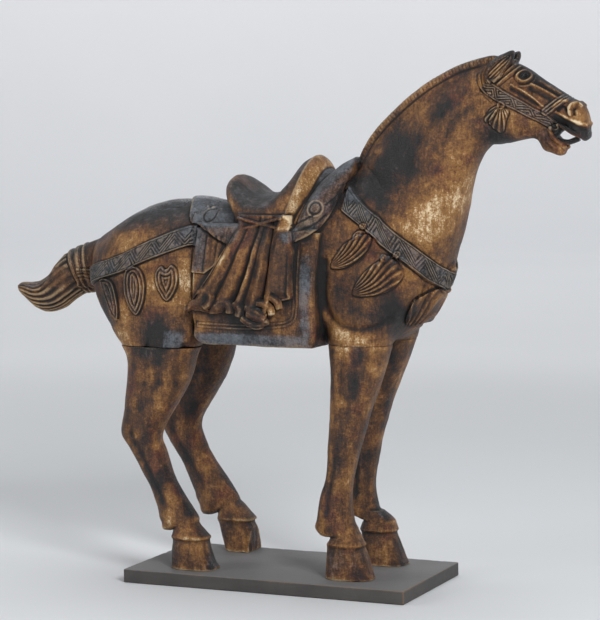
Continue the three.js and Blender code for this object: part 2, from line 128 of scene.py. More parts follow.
PALATE = [
    (384, 668, 383, 640, 8, 0, 0),
    (393, 669, 394, 645, 8.5, 0, 0),
    (402, 668, 402, 653, 9, 0, 0),
    (411, 665, 411, 656, 9, 0, 0),
    (421, 656, 420, 648, 7, 0, 0),
]
TAIL = [
    (-282, 492, -290, 432, 24, 0, 0),
    (-306, 487, -312, 410, 26, 0, 0),
    (-332, 477, -332, 405, 25, 0, 0),
    (-356, 466, -348, 396, 24, 0, 0),
    (-374, 449, -366, 383, 23, 0, 0),
    (-388, 430, -388, 375, 22, 0, 0),
    (-408, 419, -408, 380, 20, 0, 0),
    (-434, 417, -426, 394, 14, 0, 0),
    (-442, 413, -440, 405, 6, 0, 0),
]
MANE = [
    (99, 602), (111, 628), (127, 651), (148, 673), (174, 696), (205, 719),
    (245, 741), (277, 752), (300, 757), (314, 754),
]
# Stations of a leg: height, middle along the body, half length, middle across, half breadth.
RIGHT_FORE = [
    (500, 132, 50, -30, 34),
    (455, 134, 66, -38, 42),
    (412, 134, 66, -44, 43),
    (390, 130, 58, -46, 41),
    (374, 126, 49, -49, 38),
    (353, 125, 45, -51, 36),
    (313, 122, 38, -55, 31),
    (262, 114, 30, -58, 25),
    (210, 105, 24, -59, 21),
    (172, 99, 20, -59, 19),
    (134, 92, 23, -59, 18),
    (104, 91, 27, -59, 19),
    (91, 92.5, 31.5, -59, 19),
    (83, 94, 27, -59, 18),
    (80, 90, 20, -59, 14),
]
LEFT_FORE = [
    (500, 132, 50, 30, 34),
    (455, 134, 64, 38, 42),
    (412, 134, 64, 44, 43),
    (390, 130, 56, 46, 41),
    (374, 130, 46, 49, 38),
    (353, 129, 40, 51, 36),
    (315, 122, 32, 56, 30),
    (262, 105, 27, 62, 24),
    (208, 91, 24, 65, 20),
    (161, 86, 20, 66, 18),
    (130, 85, 19, 66, 18),
    (104, 86, 23, 66, 19),
    (92, 91, 25, 66, 19),
    (85, 103, 21, 66, 19),
]
RIGHT_HIND = [
    (500, -196, 64, -34, 34),
    (455, -198, 84, -44, 42),
    (405, -193, 86, -52, 44),
    (362, -182, 72, -58, 42),
    (326, -177, 53, -62, 37),
    (290, -181, 47, -65, 31),
    (250, -194, 38, -68, 26),
    (212, -206, 31, -69, 22),
    (187, -195, 26, -69, 20),
    (142, -173, 22, -69, 18),
    (108, -155, 26, -69, 19),
    (92, -148, 30, -69, 19),
    (84, -149, 25, -69, 18),
    (77, -161, 12, -69, 13),
    (74, -165, 7, -69, 8),
]
LEFT_HIND = [
    (500, -196, 64, 34, 34),
    (455, -198, 84, 44, 42),
    (405, -190, 78, 54, 44),
    (362, -178, 66, 62, 42),
    (326, -176, 54, 70, 36),
    (287, -182, 45, 76, 31),
    (250, -197, 37, 82, 26),
    (213, -214, 31, 86, 22),
    (187, -209, 29, 88, 20),
    (148, -186, 27, 88, 18),
    (110, -162, 33, 88, 19),
    (94, -156, 34, 88, 19),
    (84, -159, 26, 88, 18),
    (76, -167, 16, 88, 15),
    (71, -172, 8, 88, 9),
]
# Pastern and hoof of a leg: the same stations, from the fetlock to the board.
FEET = {
    "right_foreleg": [
        (98, 98, 18, -59, 17), (86, 107, 20, -59, 18), (78, 108, 23, -59, 20), (70, 108, 27, -59, 23),
        (65, 107, 27, -59, 22), (46, 109.5, 31, -58, 24), (HOOF_BASE, 113, 36, -58, 26),
    ],
    "left_foreleg": [
        (98, 98, 18, 66, 17), (86, 110, 22, 66, 19), (79, 110, 25, 66, 21), (71, 110, 28, 66, 23),
        (66, 110, 26, 66, 21), (45, 116, 28, 65, 24), (HOOF_BASE, 122, 32, 65, 26),
    ],
    "right_hindleg": [
        (96, -142, 18, -69, 17), (84, -135, 17, -69, 18), (75, -132, 22, -69, 20), (66, -129, 27, -69, 23),
        (60, -129, 26, -69, 21), (39, -127, 30, -69, 24), (HOOF_BASE, -122, 36, -69, 26),
    ],
    "left_hindleg": [
        (98, -144, 18, 88, 17), (86, -133, 20, 88, 18), (76, -128, 25, 88, 20), (68, -125, 29, 88, 23),
        (63, -126, 27, 88, 21), (40, -117, 30, 88, 24), (HOOF_BASE, -108, 34, 88, 26),
    ],
}


# ------------------------------------------------------------------ curves and closed forms
def ease(t):
    t = np.clip(t, 0, 1)
    return t * t * (3 - 2 * t)


def curve(stations, count):
    """Rows sampled evenly along a smooth curve through the stations."""
    rows = np.array(stations, float)
    ends = np.vstack([2 * rows[0] - rows[1], rows, 2 * rows[-1] - rows[-2]])
    t = np.linspace(0, len(rows) - 1, count)
    i = np.minimum(t.astype(int), len(rows) - 2)
    f = (t - i)[:, None]
    a, b, c, d = (ends[i + k] for k in range(4))
    bend = (2 * a - 5 * b + 4 * c - d) * f**2 + (3 * b - a - 3 * c + d) * f**3
    return 0.5 * (2 * b + (c - a) * f + bend)


def power(value, square):
    return np.sign(value) * np.abs(value) ** (2 / square)


def skin(rings):
    """A closed form over rings of points: (points, quads, triangles)."""
    rings = np.asarray(rings, float)
    count, sides = rings.shape[:2]
    points = np.vstack([rings.reshape(-1, 3), rings[0].mean(0), rings[-1].mean(0)])
    r, k = np.meshgrid(np.arange(count - 1), np.arange(sides), indexing="ij")
    a, b = (r * sides + k).ravel(), (r * sides + (k + 1) % sides).ravel()
    quads = np.stack([a, b, b + sides, a + sides], 1)
    k = np.arange(sides)
    last = (count - 1) * sides
    first_cap = np.stack([np.full(sides, count * sides), (k + 1) % sides, k], 1)
    last_cap = np.stack([np.full(sides, count * sides + 1), last + k, last + (k + 1) % sides], 1)
    return points, quads, np.vstack([first_cap, last_cap])


def spine(stations, square=2.2, count=90, sides=72):
    rows = curve(stations, count)[:, None, :]
    turn = np.linspace(0, 2 * math.pi, sides, endpoint=False)[None, :]
    up = power(np.cos(turn), square)
    out = power(np.sin(turn), square) * rows[..., 4] * (1 - rows[..., 5] * up)
    share = 0.5 + 0.5 * (up + rows[..., 6] * (1 - up * up))
    x = rows[..., 2] + (rows[..., 0] - rows[..., 2]) * share
    z = rows[..., 3] + (rows[..., 1] - rows[..., 3]) * share
    return skin(np.stack([x, out, z], -1))


def post(stations, square=2.4, count=120, sides=56):
    rows = curve(stations, count)[:, None, :]
    turn = np.linspace(0, 2 * math.pi, sides, endpoint=False)[None, :]
    x = rows[..., 1] + power(np.cos(turn), square) * rows[..., 2]
    y = rows[..., 3] + power(np.sin(turn), square) * rows[..., 4]
    return skin(np.stack([x, y, rows[..., 0] + 0 * turn], -1))


def ball(centre, radii, lean=0.0, count=28):
    """An ellipsoid, leaning by an angle in degrees about the Y axis."""
    around = np.linspace(0.02, math.pi - 0.02, count)[:, None]
    turn = np.linspace(0, 2 * math.pi, count, endpoint=False)[None, :]
    x = np.cos(around) * radii[0] + 0 * turn
    y = np.sin(around) * np.cos(turn) * radii[1]
    z = np.sin(around) * np.sin(turn) * radii[2]
    c, s = math.cos(math.radians(lean)), math.sin(math.radians(lean))
    rings = np.stack([x * c + z * s, y, z * c - x * s], -1) + np.array(centre)
    return skin(rings)


def rod(points, radii, flutes=0.0, steps=40, sides=24):
    """A closed round bar through points in space, its radius changing along it."""
    rows = curve([(*p, r) for p, r in zip(points, radii)], steps)
    along = np.gradient(rows[:, :3], axis=0)
    along /= np.linalg.norm(along, axis=1)[:, None]
    first = np.cross(along, (0.05, 1.0, 0.02))
    first /= np.linalg.norm(first, axis=1)[:, None]
    second = np.cross(along, first)
    turn = np.linspace(0, 2 * math.pi, sides, endpoint=False)[None, :, None]
    ring = (np.cos(turn) * first[:, None] + np.sin(turn) * second[:, None]) * (1 + flutes * np.cos(5 * turn))
    return skin(rows[:, None, :3] + ring * rows[:, None, 3:])


def outline_distance(x, z, outline):
    """Signed distance to a closed outline in the side plane, negative inside."""
    ring = np.array(outline, float)
    best = np.full(np.broadcast(x, z).shape, 1e9)
    inside = np.zeros(best.shape, bool)
    for (ax, az), (bx, bz) in zip(ring, np.roll(ring, -1, 0)):
        ex, ez = bx - ax, bz - az
        t = np.clip(((x - ax) * ex + (z - az) * ez) / (ex * ex + ez * ez + 1e-9), 0, 1)
        best = np.minimum(best, (x - ax - t * ex) ** 2 + (z - az - t * ez) ** 2)
        crosses = ((az > z) != (bz > z)) & (x < ex * (z - az) / (ez + 1e-12) + ax)
        inside ^= crosses
    return np.where(inside, -1, 1) * np.sqrt(best)


def rounded(points, count=8):
    """A closed outline bent smoothly through a few points."""
    ring = list(points) + list(points[:3])
    rows = curve([points[-1]] + ring, (len(ring)) * count + 1)
    return rows[count : count * (len(points) + 1)]


def line_distance(x, z, points):
    """Distance to an open line in the side plane, and how far along it the nearest point is."""
    rows = np.array(points, float)
    best = np.full(np.broadcast(x, z).shape, 1e9)
    along = np.zeros(best.shape)
    run = 0.0
    for (ax, az), (bx, bz) in zip(rows[:-1], rows[1:]):
        ex, ez = bx - ax, bz - az
        size = math.hypot(ex, ez)
        t = np.clip(((x - ax) * ex + (z - az) * ez) / (size * size + 1e-9), 0, 1)
        d = (x - ax - t * ex) ** 2 + (z - az - t * ez) ** 2
        near = d < best
        best = np.where(near, d, best)
        along = np.where(near, run + t * size, along)
        run += size
    return np.sqrt(best), along


# ------------------------------------------------------------------ carving in a block
class Block:
    """A box of space that holds the distance to the surface being carved, in millimetres."""

    def __init__(self, low, high, pitch):
        self.pitch = pitch
        self.first = np.floor(np.array(low) / pitch).astype(int)
        self.last = np.ceil(np.array(high) / pitch).astype(int)
        self.far = np.full(self.last - self.first, BAND, np.float32)

    def window(self, low, high):
        a = np.clip(np.floor(np.array(low) / self.pitch).astype(int), self.first, self.last)
        b = np.clip(np.ceil(np.array(high) / self.pitch).astype(int), self.first, self.last)
        return a, b, tuple(slice(i - f, j - f) for i, j, f in zip(a, b, self.first))

    def axes(self, a, b):
        x, y, z = (np.arange(i, j, dtype=np.float32) * self.pitch for i, j in zip(a, b))
        return x[:, None, None], y[None, :, None], z[None, None, :]

    def distance(self, form, a, b):
        points, quads, triangles = form
        grid = vdb.FloatGrid.createLevelSetFromPolygons(
            np.ascontiguousarray(points, np.float32),
            triangles=np.ascontiguousarray(triangles, np.uint32),
            quads=np.ascontiguousarray(quads, np.uint32),
            transform=vdb.createLinearTransform(voxelSize=self.pitch),
            halfWidth=REACH / self.pitch,
        )
        out = np.zeros(b - a, np.float32)
        grid.copyToArray(out, ijk=tuple(int(i) for i in a))
        return out

    def merge(self, form, soft, keep):
        points = form[0]
        a, b, part = self.window(points.min(0) - REACH, points.max(0) + REACH)
        if np.any(b <= a):
            return
        self.far[part] = keep(self.far[part], self.distance(form, a, b), soft)

    def add(self, form, soft=0.0):
        self.merge(form, soft, union)

    def cut(self, form, soft=0.0):
        self.merge(form, soft, lambda d, other, k: -union(-d, other, k))

    def layer(self, low, high, region, thick, edge=1.0):
        """Raises the surface by thick where region(x, y, z), a signed distance, is negative."""
        a, b, part = self.window(low, high)
        base = self.far[part]
        raised = -union(thick - base, -region(*self.axes(a, b)), edge)
        self.far[part] = np.minimum(base, raised)

    def sink(self, low, high, region, depth, edge=1.0):
        """Lowers the surface by depth where region(x, y, z) is negative."""
        a, b, part = self.window(low, high)
        base = self.far[part]
        hole = -union(base + depth, -region(*self.axes(a, b)), edge)
        self.far[part] = np.maximum(base, -hole)

    def mesh(self):
        grid = vdb.FloatGrid(BAND)
        grid.copyFromArray(self.far, ijk=tuple(int(i) for i in self.first), tolerance=0.0)
        grid.transform = vdb.createLinearTransform(voxelSize=self.pitch)
        points, quads = grid.convertToQuads(0.0)
        quads = quads.astype(np.int64)
        triangles = np.vstack([quads[:, [0, 1, 2]], quads[:, [0, 2, 3]]])
        return points.astype(float), triangles


def union(a, b, soft):
    if soft <= 0:
        return np.minimum(a, b)
    h = np.maximum(soft - np.abs(a - b), 0) / soft
    return np.minimum(a, b) - h * h * soft * 0.25


# ------------------------------------------------------------------ work on mesh points
def edges_of(triangles):
    pairs = np.vstack([triangles[:, [0, 1]], triangles[:, [1, 2]], triangles[:, [2, 0]]])
    return pairs[:, 0], pairs[:, 1]


def blurred(values, edges, times):
    """Values averaged with their neighbours' over the mesh."""
    a, b = edges
    count = np.bincount(a, minlength=len(values))
    columns = values.reshape(len(values), -1).copy()
    for _ in range(times):
        for c in range(columns.shape[1]):
            around = np.bincount(a, weights=columns[b, c], minlength=len(values)) / count
            columns[:, c] = 0.5 * (columns[:, c] + around)
    return columns.reshape(values.shape)


def normals_of(points, triangles):
    a, b, c = (points[triangles[:, k]] for k in range(3))
    face = np.cross(b - a, c - a)
    total = np.zeros_like(points)
    for k in range(3):
        for axis in range(3):
            total[:, axis] += np.bincount(triangles[:, k], face[:, axis], len(points))
    return total / np.maximum(np.linalg.norm(total, axis=1), 1e-12)[:, None]


def largest_part(points, triangles):
    """Drops any crumb that isn't joined to the main surface."""
    label = np.arange(len(points))
    a, b = edges_of(triangles)
    while True:
        low = np.minimum(label[a], label[b])
        new = label.copy()
        np.minimum.at(new, a, low)
        np.minimum.at(new, b, low)
        new = new[new]
        if np.array_equal(new, label):
            break
        label = new
    main = np.bincount(label[triangles[:, 0]]).argmax()
    keep = label[triangles[:, 0]] == main
    used = np.unique(triangles[keep])
    index = np.zeros(len(points), int)
    index[used] = np.arange(len(used))
    return points[used], index[triangles[keep]]


def refined(points, triangles, chosen):
    """Splits every edge between two chosen points, and the triangles beside it."""
    sides = np.stack([triangles[:, [0, 1]], triangles[:, [1, 2]], triangles[:, [2, 0]]], 1)
    split = chosen[sides].all(2)
    keys = np.sort(sides[split], 1)
    flat, index = np.unique(keys[:, 0] * len(points) + keys[:, 1], return_inverse=True)
    ends = np.stack([flat // len(points), flat % len(points)], 1)
    middle = np.full(split.shape, -1)
    middle[split] = len(points) + index
    points = np.vstack([points, points[ends].mean(1)])
    count = split.sum(1)
    done = [triangles[count == 0]]
    whole = count == 3
    (a, b, c), (p, q, r) = triangles[whole].T, middle[whole].T
    done += [np.stack(t, 1) for t in ((a, p, r), (p, b, q), (r, q, c), (p, q, r))]
    for k in range(3):
        one = (count == 1) & split[:, k]
        a, b, c = (triangles[one, (k + s) % 3] for s in range(3))
        p = middle[one, k]
        done += [np.stack((a, p, c), 1), np.stack((p, b, c), 1)]
    return points, np.vstack(done)


# ------------------------------------------------------------------ the larger carving
def arch(stations, count=60, sides=60):
    """The saddle: arches that lean from their feet to their tops.
    Stations: x at the foot, x at the top, height of the foot, height of the top, half spread."""
    rows = curve(stations, count)[:, None, :]
    turn = np.linspace(0, math.pi, sides)[None, :]
    y = power(np.cos(turn), 2.25) * rows[..., 4]
    lift = power(np.sin(turn), 1.9)
    x = rows[..., 0] + (rows[..., 1] - rows[..., 0]) * lift
    z = rows[..., 2] + (rows[..., 3] - rows[..., 2]) * lift
    over = np.stack([x, y, z], -1)
    inner = over[:, ::-1].copy()
    inner[..., 1] *= 0.8
    inner[..., 2] = np.minimum(inner[..., 2], 490)
    return skin(np.concatenate([over, inner[:, [0, -1]]], 1))


SADDLE = [
    (-58, -93, 530, 562, 60),
    (-58, -90, 530, 577, 70),
    (-56, -80, 530, 585, 75),
    (-50, -66, 531, 578, 77),
    (-38, -47, 532, 563, 78),
    (-22, -26, 532, 560, 78),
    (-8, -2, 532, 567, 78),
    (4, 16, 531, 588, 78),
    (12, 29, 529, 607, 77),
    (18, 40, 527, 614, 76),
    (24, 49, 524, 611, 74),
    (32, 58, 519, 600, 67),
    (40, 66, 514, 588, 58),
]
# The dark pad that stands between the pommel and the neck.
FRONT_ARCH = [
    (28, 52, 505, 570, 70),
    (42, 70, 503, 586, 80),
    (56, 88, 504, 601, 78),
    (66, 100, 509, 608, 70),
    (72, 107, 517, 609, 58),
]


def mudguard(side):
    """The flat flap under the cloth, rounded at its lower corners and hugging the flank above."""
    low, top, rear, front = 348.0, 510.0, -115.0, 74.0
    rings = []
    for t in np.linspace(0, 1, 60) ** 1.7:
        z = low + (top - low) * t
        near = max(0.0, 1 - (z - low) / 22)
        corner = 20 * (1 - math.sqrt(1 - near * near))
        lean = max(0.0, (z - 430) / (top - 430))
        out = 97.0 - 4.5 * near**2 - 15 * lean**1.5
        x0, x1 = rear + corner + 4 * lean, front - 0.3 * corner
        plan = [(x1, 35), (x1, out - 4), (x1 - 1.2, out - 1.2), (x1 - 4, out)]
        plan += [(x, out) for x in np.linspace(x1 - 5, x0 + 5, 24)]
        plan += [(x0 + 4, out), (x0 + 1.2, out - 1.2), (x0, out - 4), (x0, 35)]
        rings.append([(x, side * y, z) for x, y in plan])
    return skin(rings)


FOLDS = 6.0


def cloth(side):
    """The cloth drawn down from the seat, its folds spreading toward a curled hem."""
    rings = []
    count = 150
    across = np.linspace(0, 1, count)
    phase = FOLDS * across**0.9 + 0.26 * np.sin(across * 11.0 + 0.4) + 0.10 * np.sin(across * 27.0)
    reach = 0.8 + 0.35 * np.sin(across * 17.0 + 2.0)
    for s in np.linspace(0, 1, 90):
        fall = s**1.15
        rear = -46 - 80 * fall**1.25
        front = 30 + 12 * min(1.0, 2.2 * s)
        dip = np.exp(-(((across - 0.66) / 0.08) ** 2))
        hem = 395 + 2.5 * np.sin(across * 16 + 0.6) - 9 * dip + 25 * ease((across - 0.77) / 0.05)
        z = 533 + (hem - 533) * s
        x = rear + (front - rear) * across
        crest = np.abs(np.cos(math.pi * phase)) ** 1.2
        depth = (1.0 + 14.0 * s**0.6) * reach * (1 - 0.6 * ease((across - 0.82) / 0.08))
        lines = 0.5 * np.cos(math.pi * phase * 5 + 2.0 * s + across * 9) * ease(s * 4)
        out = 86 + 24 * ease(s * 2.3) - depth * (1 - crest) + lines
        edge = np.minimum(across, 1 - across) * count / 4
        out = out - 8 * (1 - ease(edge)) * ease(s * 6) - 4 * ease((s - 0.93) / 0.07)
        face = np.stack([x, side * out, z], -1)
        back = np.stack([x[::-1], np.full(count, side * 60.0), z[::-1]], -1)
        rings.append(np.vstack([face, back[::12]]))
    return skin(rings)
# Rolled folds along the hem, each a line in the side plane and a radius.
HEM_CURLS = [
    ([(-100, 421), (-91, 426), (-82, 420), (-82, 409), (-91, 401)], 5.0),
    ([(-99, 411), (-110, 405), (-120, 396)], 5.2),
    ([(-73, 403), (-62, 411), (-52, 406), (-52, 395)], 6.0),
    ([(-45, 410), (-36, 402), (-38, 391)], 6.0),
    ([(-27, 405), (-12, 399), (3, 391)], 6.0),
    ([(-24, 396), (-10, 391), (3, 388)], 6.4),
    ([(-33, 389), (-20, 381), (-6, 379), (7, 386)], 5.4),
    ([(-10, 411), (0, 410), (10, 404), (13, 395)], 5.2),
    ([(2, 421), (12, 420), (21, 413), (24, 404)], 4.8),
]
CLOTH_OUTLINE = [(-48, 534), (22, 534), (34, 505), (46, 470), (46, 410), (10, 374), (-40, 378), (-128, 388), (-112, 428),
                 (-79, 450), (-54, 476)]
# The tie over the top of the cloth: strands in the side plane.
TIE = [[(-47, 512), (-20, 518), (2, 525), (19, 530)], [(-47, 529), (-12, 521), (20, 515)]]


def hem_curls(side):
    return [rod([(x, side * 105, z) for x, z in line], [0.8 * r] + [r] * (len(line) - 2) + [0.85 * r], 0.1)
            for line, r in HEM_CURLS]


def tie(side):
    return [rod([(x, side * 89, z) for x, z in line], [2.4] * len(line)) for line in TIE]


def muzzle_forms(side):
    """Lips and chin ridges, each with how softly it joins the head."""
    return [
        (rod([(397, side * 16, 681), (414, side * 16, 672), (428, side * 16, 666), (440, side * 12, 664)],
             [2, 2.6, 2.8, 2.4]), 2),
        (rod([(399, side * 12.5, 664), (411, side * 13.5, 658), (424, side * 13, 651), (438, side * 8, 648)],
             [2.4, 3.2, 3.8, 5.0]), 2.5),
        (rod([(385, side * 11, 658), (391, side * 12, 647), (399, side * 11.5, 639), (409, side * 8, 631)],
             [2.2, 2.8, 2.8, 2.6]), 2),
        (rod([(381, side * 11, 648), (388, side * 12, 637), (402, side * 9, 626)], [1.4, 2, 2]), 1.5),
    ]


def mouth_cuts(side):
    """The hollow between the lip line and the lip, and the fold behind the chin."""
    return [
        rod([(398, side * 18, 674), (412, side * 18.5, 666), (428, side * 17.5, 659), (442, side * 13, 657)],
            [2, 2.8, 2.8, 2.0]),
        rod([(377, side * 16, 641), (383, side * 12, 634), (389, side * 14, 628)], [1.6, 2, 1.6]),
    ]


def ear(side):
    """A pricked ear; the left one is carved a little lower."""
    drop = 0 if side < 0 else 6
    rows = curve([(294, 723, 18, 7), (303, 732, 19, 11.5), (313, 741, 18, 12.5), (324, 751 - drop / 2, 16, 9),
                  (335, 764 - drop, 13, 1.2)], 40)
    turn = np.linspace(0, 2 * math.pi, 32, endpoint=False)
    rings = []
    for x, z, y, half in rows:
        lift = np.cos(turn) * half
        out = np.sin(turn) * half * 0.42
        rings.append(np.stack([x - lift * 0.62, side * (y + out), z + lift * 0.78], 1))
    return skin(rings)




def mane_ridge():
    rows = curve(MANE, 120)
    step = np.gradient(rows, axis=0)
    step /= np.linalg.norm(step, axis=1)[:, None]
    down = np.stack([step[:, 1], -step[:, 0]], 1)
    rings = []
    for (x, z), (dx, dz) in zip(rows, down):
        section = [(-6.5, 4), (-5, 1), (-2, 0), (2, 0), (5, 1), (6.5, 4), (8, 12), (11, 26), (-11, 26), (-8, 12)]
        rings.append([(x + dx * d, y, z + dz * d) for y, d in section])
    return skin(rings)


def leg_posts(name):
    return {
        "right_foreleg": RIGHT_FORE,
        "left_foreleg": LEFT_FORE,
        "right_hindleg": RIGHT_HIND,
        "left_hindleg": LEFT_HIND,
    }[name]


# Outlines of what is laid over the body, in the side plane.
REAR_PAD = rounded([(-152, 562), (-140, 545), (-127, 520), (-108, 517), (-92, 507), (-74, 497), (-56, 492), (-40, 505),
                    (-44, 562), (-100, 600)])
REAR_PANEL = [(-118, 530), (-118, 450), (-94, 449), (-80, 460), (-56, 492), (-50, 530)]
FRONT_PAD = rounded([(16, 522), (32, 497), (52, 502), (69, 513), (81, 530), (89, 549), (98, 572), (106, 600),
                     (92, 618), (60, 600), (30, 560)])


def build_body():
    block = Block((-455, -118, 325), (458, 118, 778), BODY_PITCH)
    block.add(spine(TRUNK, 2.3, 140, 96))
    block.add(spine(NECK, 2.2, 120, 80), 16)
    block.add(spine(FACE, 2.3), 8)
    for side in (-1, 1):
        block.add(ball((318, side * 14, 668), (27, 16, 26), 0), 9)
    block.add(spine(JAW, 2.2), 5)
    block.add(spine(TAIL, 2.1), 7)
    for name in FEET:
        block.add(leg_root(name), 14)
    for side in (-1, 1):
        block.add(ball((147, side * 50, 437), (69, 42, 57), -6), 5)
    block.add(mane_ridge(), 3)
    for side in (-1, 1):
        y0, y1 = side_span(side)
        block.add(mudguard(side), 1.5)
        block.layer((-125, y0, 440), (-40, y1, 535), lambda x, y, z: outline_distance(x, z, REAR_PANEL), 4, 1.5)
    block.add(arch(FRONT_ARCH), 3)
    for side in (-1, 1):
        y0, y1 = side_span(side)
        block.layer((-156, y0, 440), (-36, y1, 600), lambda x, y, z: outline_distance(x, z, REAR_PAD), 6, 2)
        block.layer((10, y0, 480), (125, y1, 630), lambda x, y, z: outline_distance(x, z, FRONT_PAD), 5, 2)
    block.add(arch(SADDLE), 1)
    for side in (-1, 1):
        block.add(cloth(side), 1)
        for form in hem_curls(side) + tie(side):
            block.add(form, 1)
        block.add(ear(side), 2)
        block.cut(rod([(80, side * 102, 492), (79, side * 98, 440), (79, side * 96, 400), (79, side * 92, 350)],
                      [1.5, 2.6, 3.0, 3.4]), 1)
        for form, soft in muzzle_forms(side):
            block.add(form, soft)
        for form in mouth_cuts(side):
            block.cut(form, 1.5)
    block.add(spine(PALATE, 2.2, 40, 32), 1)
    block.add(spine(TONGUE, 2.2, 40, 32), 1)
    add_trappings(block)
    for name in FEET:
        block.cut(leg_socket(name))
    return block.mesh()


def finely_cut(points):
    """Which points are in the small carving: straps, leaves, pendants and head."""
    x, y, z = points.T
    fine = (x > 284) & (z > 612)
    fine |= (np.abs(breast_frame(x, y, z)[1]) < STRAP_HALF + 3) & (x > 95) & (z > 425) & (z < 575)
    fine |= (np.abs(crupper_frame(x, y, z)[1]) < STRAP_HALF + 3) & (x < -108) & (z > 405) & (z < 520)
    for outline in (*(leaf[0] for leaf in SHOULDER_LEAVES), *RUMP_LEAVES):
        low, high = outline.min(0) - 3, outline.max(0) + 3
        fine |= (x > low[0]) & (x < high[0]) & (z > low[1]) & (z < high[1])
    return fine


def seam_of(name):
    return FORE_SEAM if "fore" in name else HIND_SEAM


def leg_root(name):
    """The part of a leg over its seam, which is carved with the body."""
    rows = curve(leg_posts(name), 200)
    rows = rows[rows[:, 0] >= seam_of(name)]
    return post_rows(np.vstack([rows, rows[-1] * [0, 1, 1, 1, 1] + [seam_of(name), 0, 0, 0, 0]]))


def leg_socket(name):
    """The room under a leg's seam, cut clear of the body all round the leg."""
    rows = curve(leg_posts(name), 200)
    rows = rows[rows[:, 0] <= seam_of(name)]
    rows = rows[:2].repeat(2, 0)[:2] * 1.0
    top, low = rows[0].copy(), rows[1].copy()
    top[0], low[0] = seam_of(name) + SEAM_GAP, seam_of(name) - 40
    low[1:] = top[1:]
    wide = np.array([0, 0, 3.0, 0, 3.0])
    return post_rows(np.array([top + wide, (top + low) / 2 + wide, low + wide]))


def post_rows(rows, square=2.4, sides=56):
    rows = rows[:, None, :]
    turn = np.linspace(0, 2 * math.pi, sides, endpoint=False)[None, :]
    x = rows[..., 1] + power(np.cos(turn), square) * rows[..., 2]
    y = rows[..., 3] + power(np.sin(turn), square) * rows[..., 4]
    return skin(np.stack([x, y, rows[..., 0] + 0 * turn], -1))


def build_leg(name):
    seam = seam_of(name)
    rows = curve(leg_posts(name), 240)
    rows = rows[rows[:, 0] <= seam]
    rows = np.vstack([rows[0], rows])
    rows[0, 0] = seam
    foot = FEET[name]
    low = (rows[:, 1].min() - 60, rows[:, 3].min() - 60, HOOF_BASE - 6)
    high = (rows[:, 1].max() + 60, rows[:, 3].max() + 60, seam + 6)
    block = Block(low, high, LEG_PITCH)
    block.add(post_rows(rows))
    block.add(post(foot, 2.5, 80), 3)
    return block.mesh()


# ------------------------------------------------------------------ straps and what hangs from them
# A strap's middle line: share of a right angle turned about its pole, and height.
BREAST_POLE = 120.0
BREAST_LINE = [(0, 440), (0.1, 446), (0.22, 455), (0.34, 469), (0.48, 489), (0.63, 509), (0.72, 520), (0.9, 535),
               (1.14, 552), (1.3, 561)]
CRUPPER_POLE = -190.0
CRUPPER_LINE = [(0, 426), (0.16, 431), (0.31, 438), (0.66, 455), (0.93, 473), (1.2, 488), (1.42, 500), (1.6, 508)]
STRAP_HALF = 12.8






def strap_frame(x, y, z, pole, line, forward, reach):
    """Distance along a strap from the middle of the body, and distance across it."""
    route = curve(line, 80)
    share = np.arctan2(np.abs(y), forward * (x - pole)) / (math.pi / 2)
    height = np.interp(share, route[:, 0], route[:, 1])
    slope = np.interp(share, route[:, 0], np.gradient(route[:, 1], route[:, 0])) / (math.pi / 2)
    away = np.maximum(np.hypot(x - pole, y), 30)
    across = (z - height) / np.sqrt(1 + (slope / away) ** 2)
    radius = reach(route[:, 0] * math.pi / 2)
    step = np.hypot(np.diff(route[:, 0]) * radius[1:] * math.pi / 2, np.diff(route[:, 1]))
    return np.interp(share, route[:, 0], np.concatenate([[0], np.cumsum(step)])), across


def breast_frame(x, y, z):
    return strap_frame(x, y, z, BREAST_POLE, BREAST_LINE, 1, lambda t: 62 + 52 * np.cos(t) ** 2)


def crupper_frame(x, y, z):
    return strap_frame(x, y, z, CRUPPER_POLE, CRUPPER_LINE, -1, lambda t: 88 + 20 * np.cos(t) ** 2)


def breast_region(x, y, z):
    return np.maximum(np.abs(breast_frame(x, y, z)[1]) - STRAP_HALF, 100 - x)


def crupper_region(x, y, z):
    return np.maximum(np.abs(crupper_frame(x, y, z)[1]) - STRAP_HALF, x + 112)


def zigzag(u, v, half):
    """Nested triangles between the double borders of a strap, as a height from -1 to 1."""
    rise, fall = 24.0, 13.0
    field = half - 3.4
    period = rise + fall
    u = np.mod(u, period)
    best = np.full(u.shape, 99.0)
    for shift in (-period, 0, period):
        up, down = 2 * field / rise, 2 * field / fall
        best = np.minimum(best, np.abs(v + field - (u - shift) * up) / np.hypot(1, up))
        best = np.minimum(best, np.abs(v - field + (u - shift - rise) * down) / np.hypot(1, down))
    lines = np.cos(2 * math.pi * np.minimum(best, 7.2) / 3.6)
    border = np.cos(2 * math.pi * (np.abs(v) - field - 0.2) / 3.2 + math.pi)
    return np.where(np.abs(v) < field, lines, border)


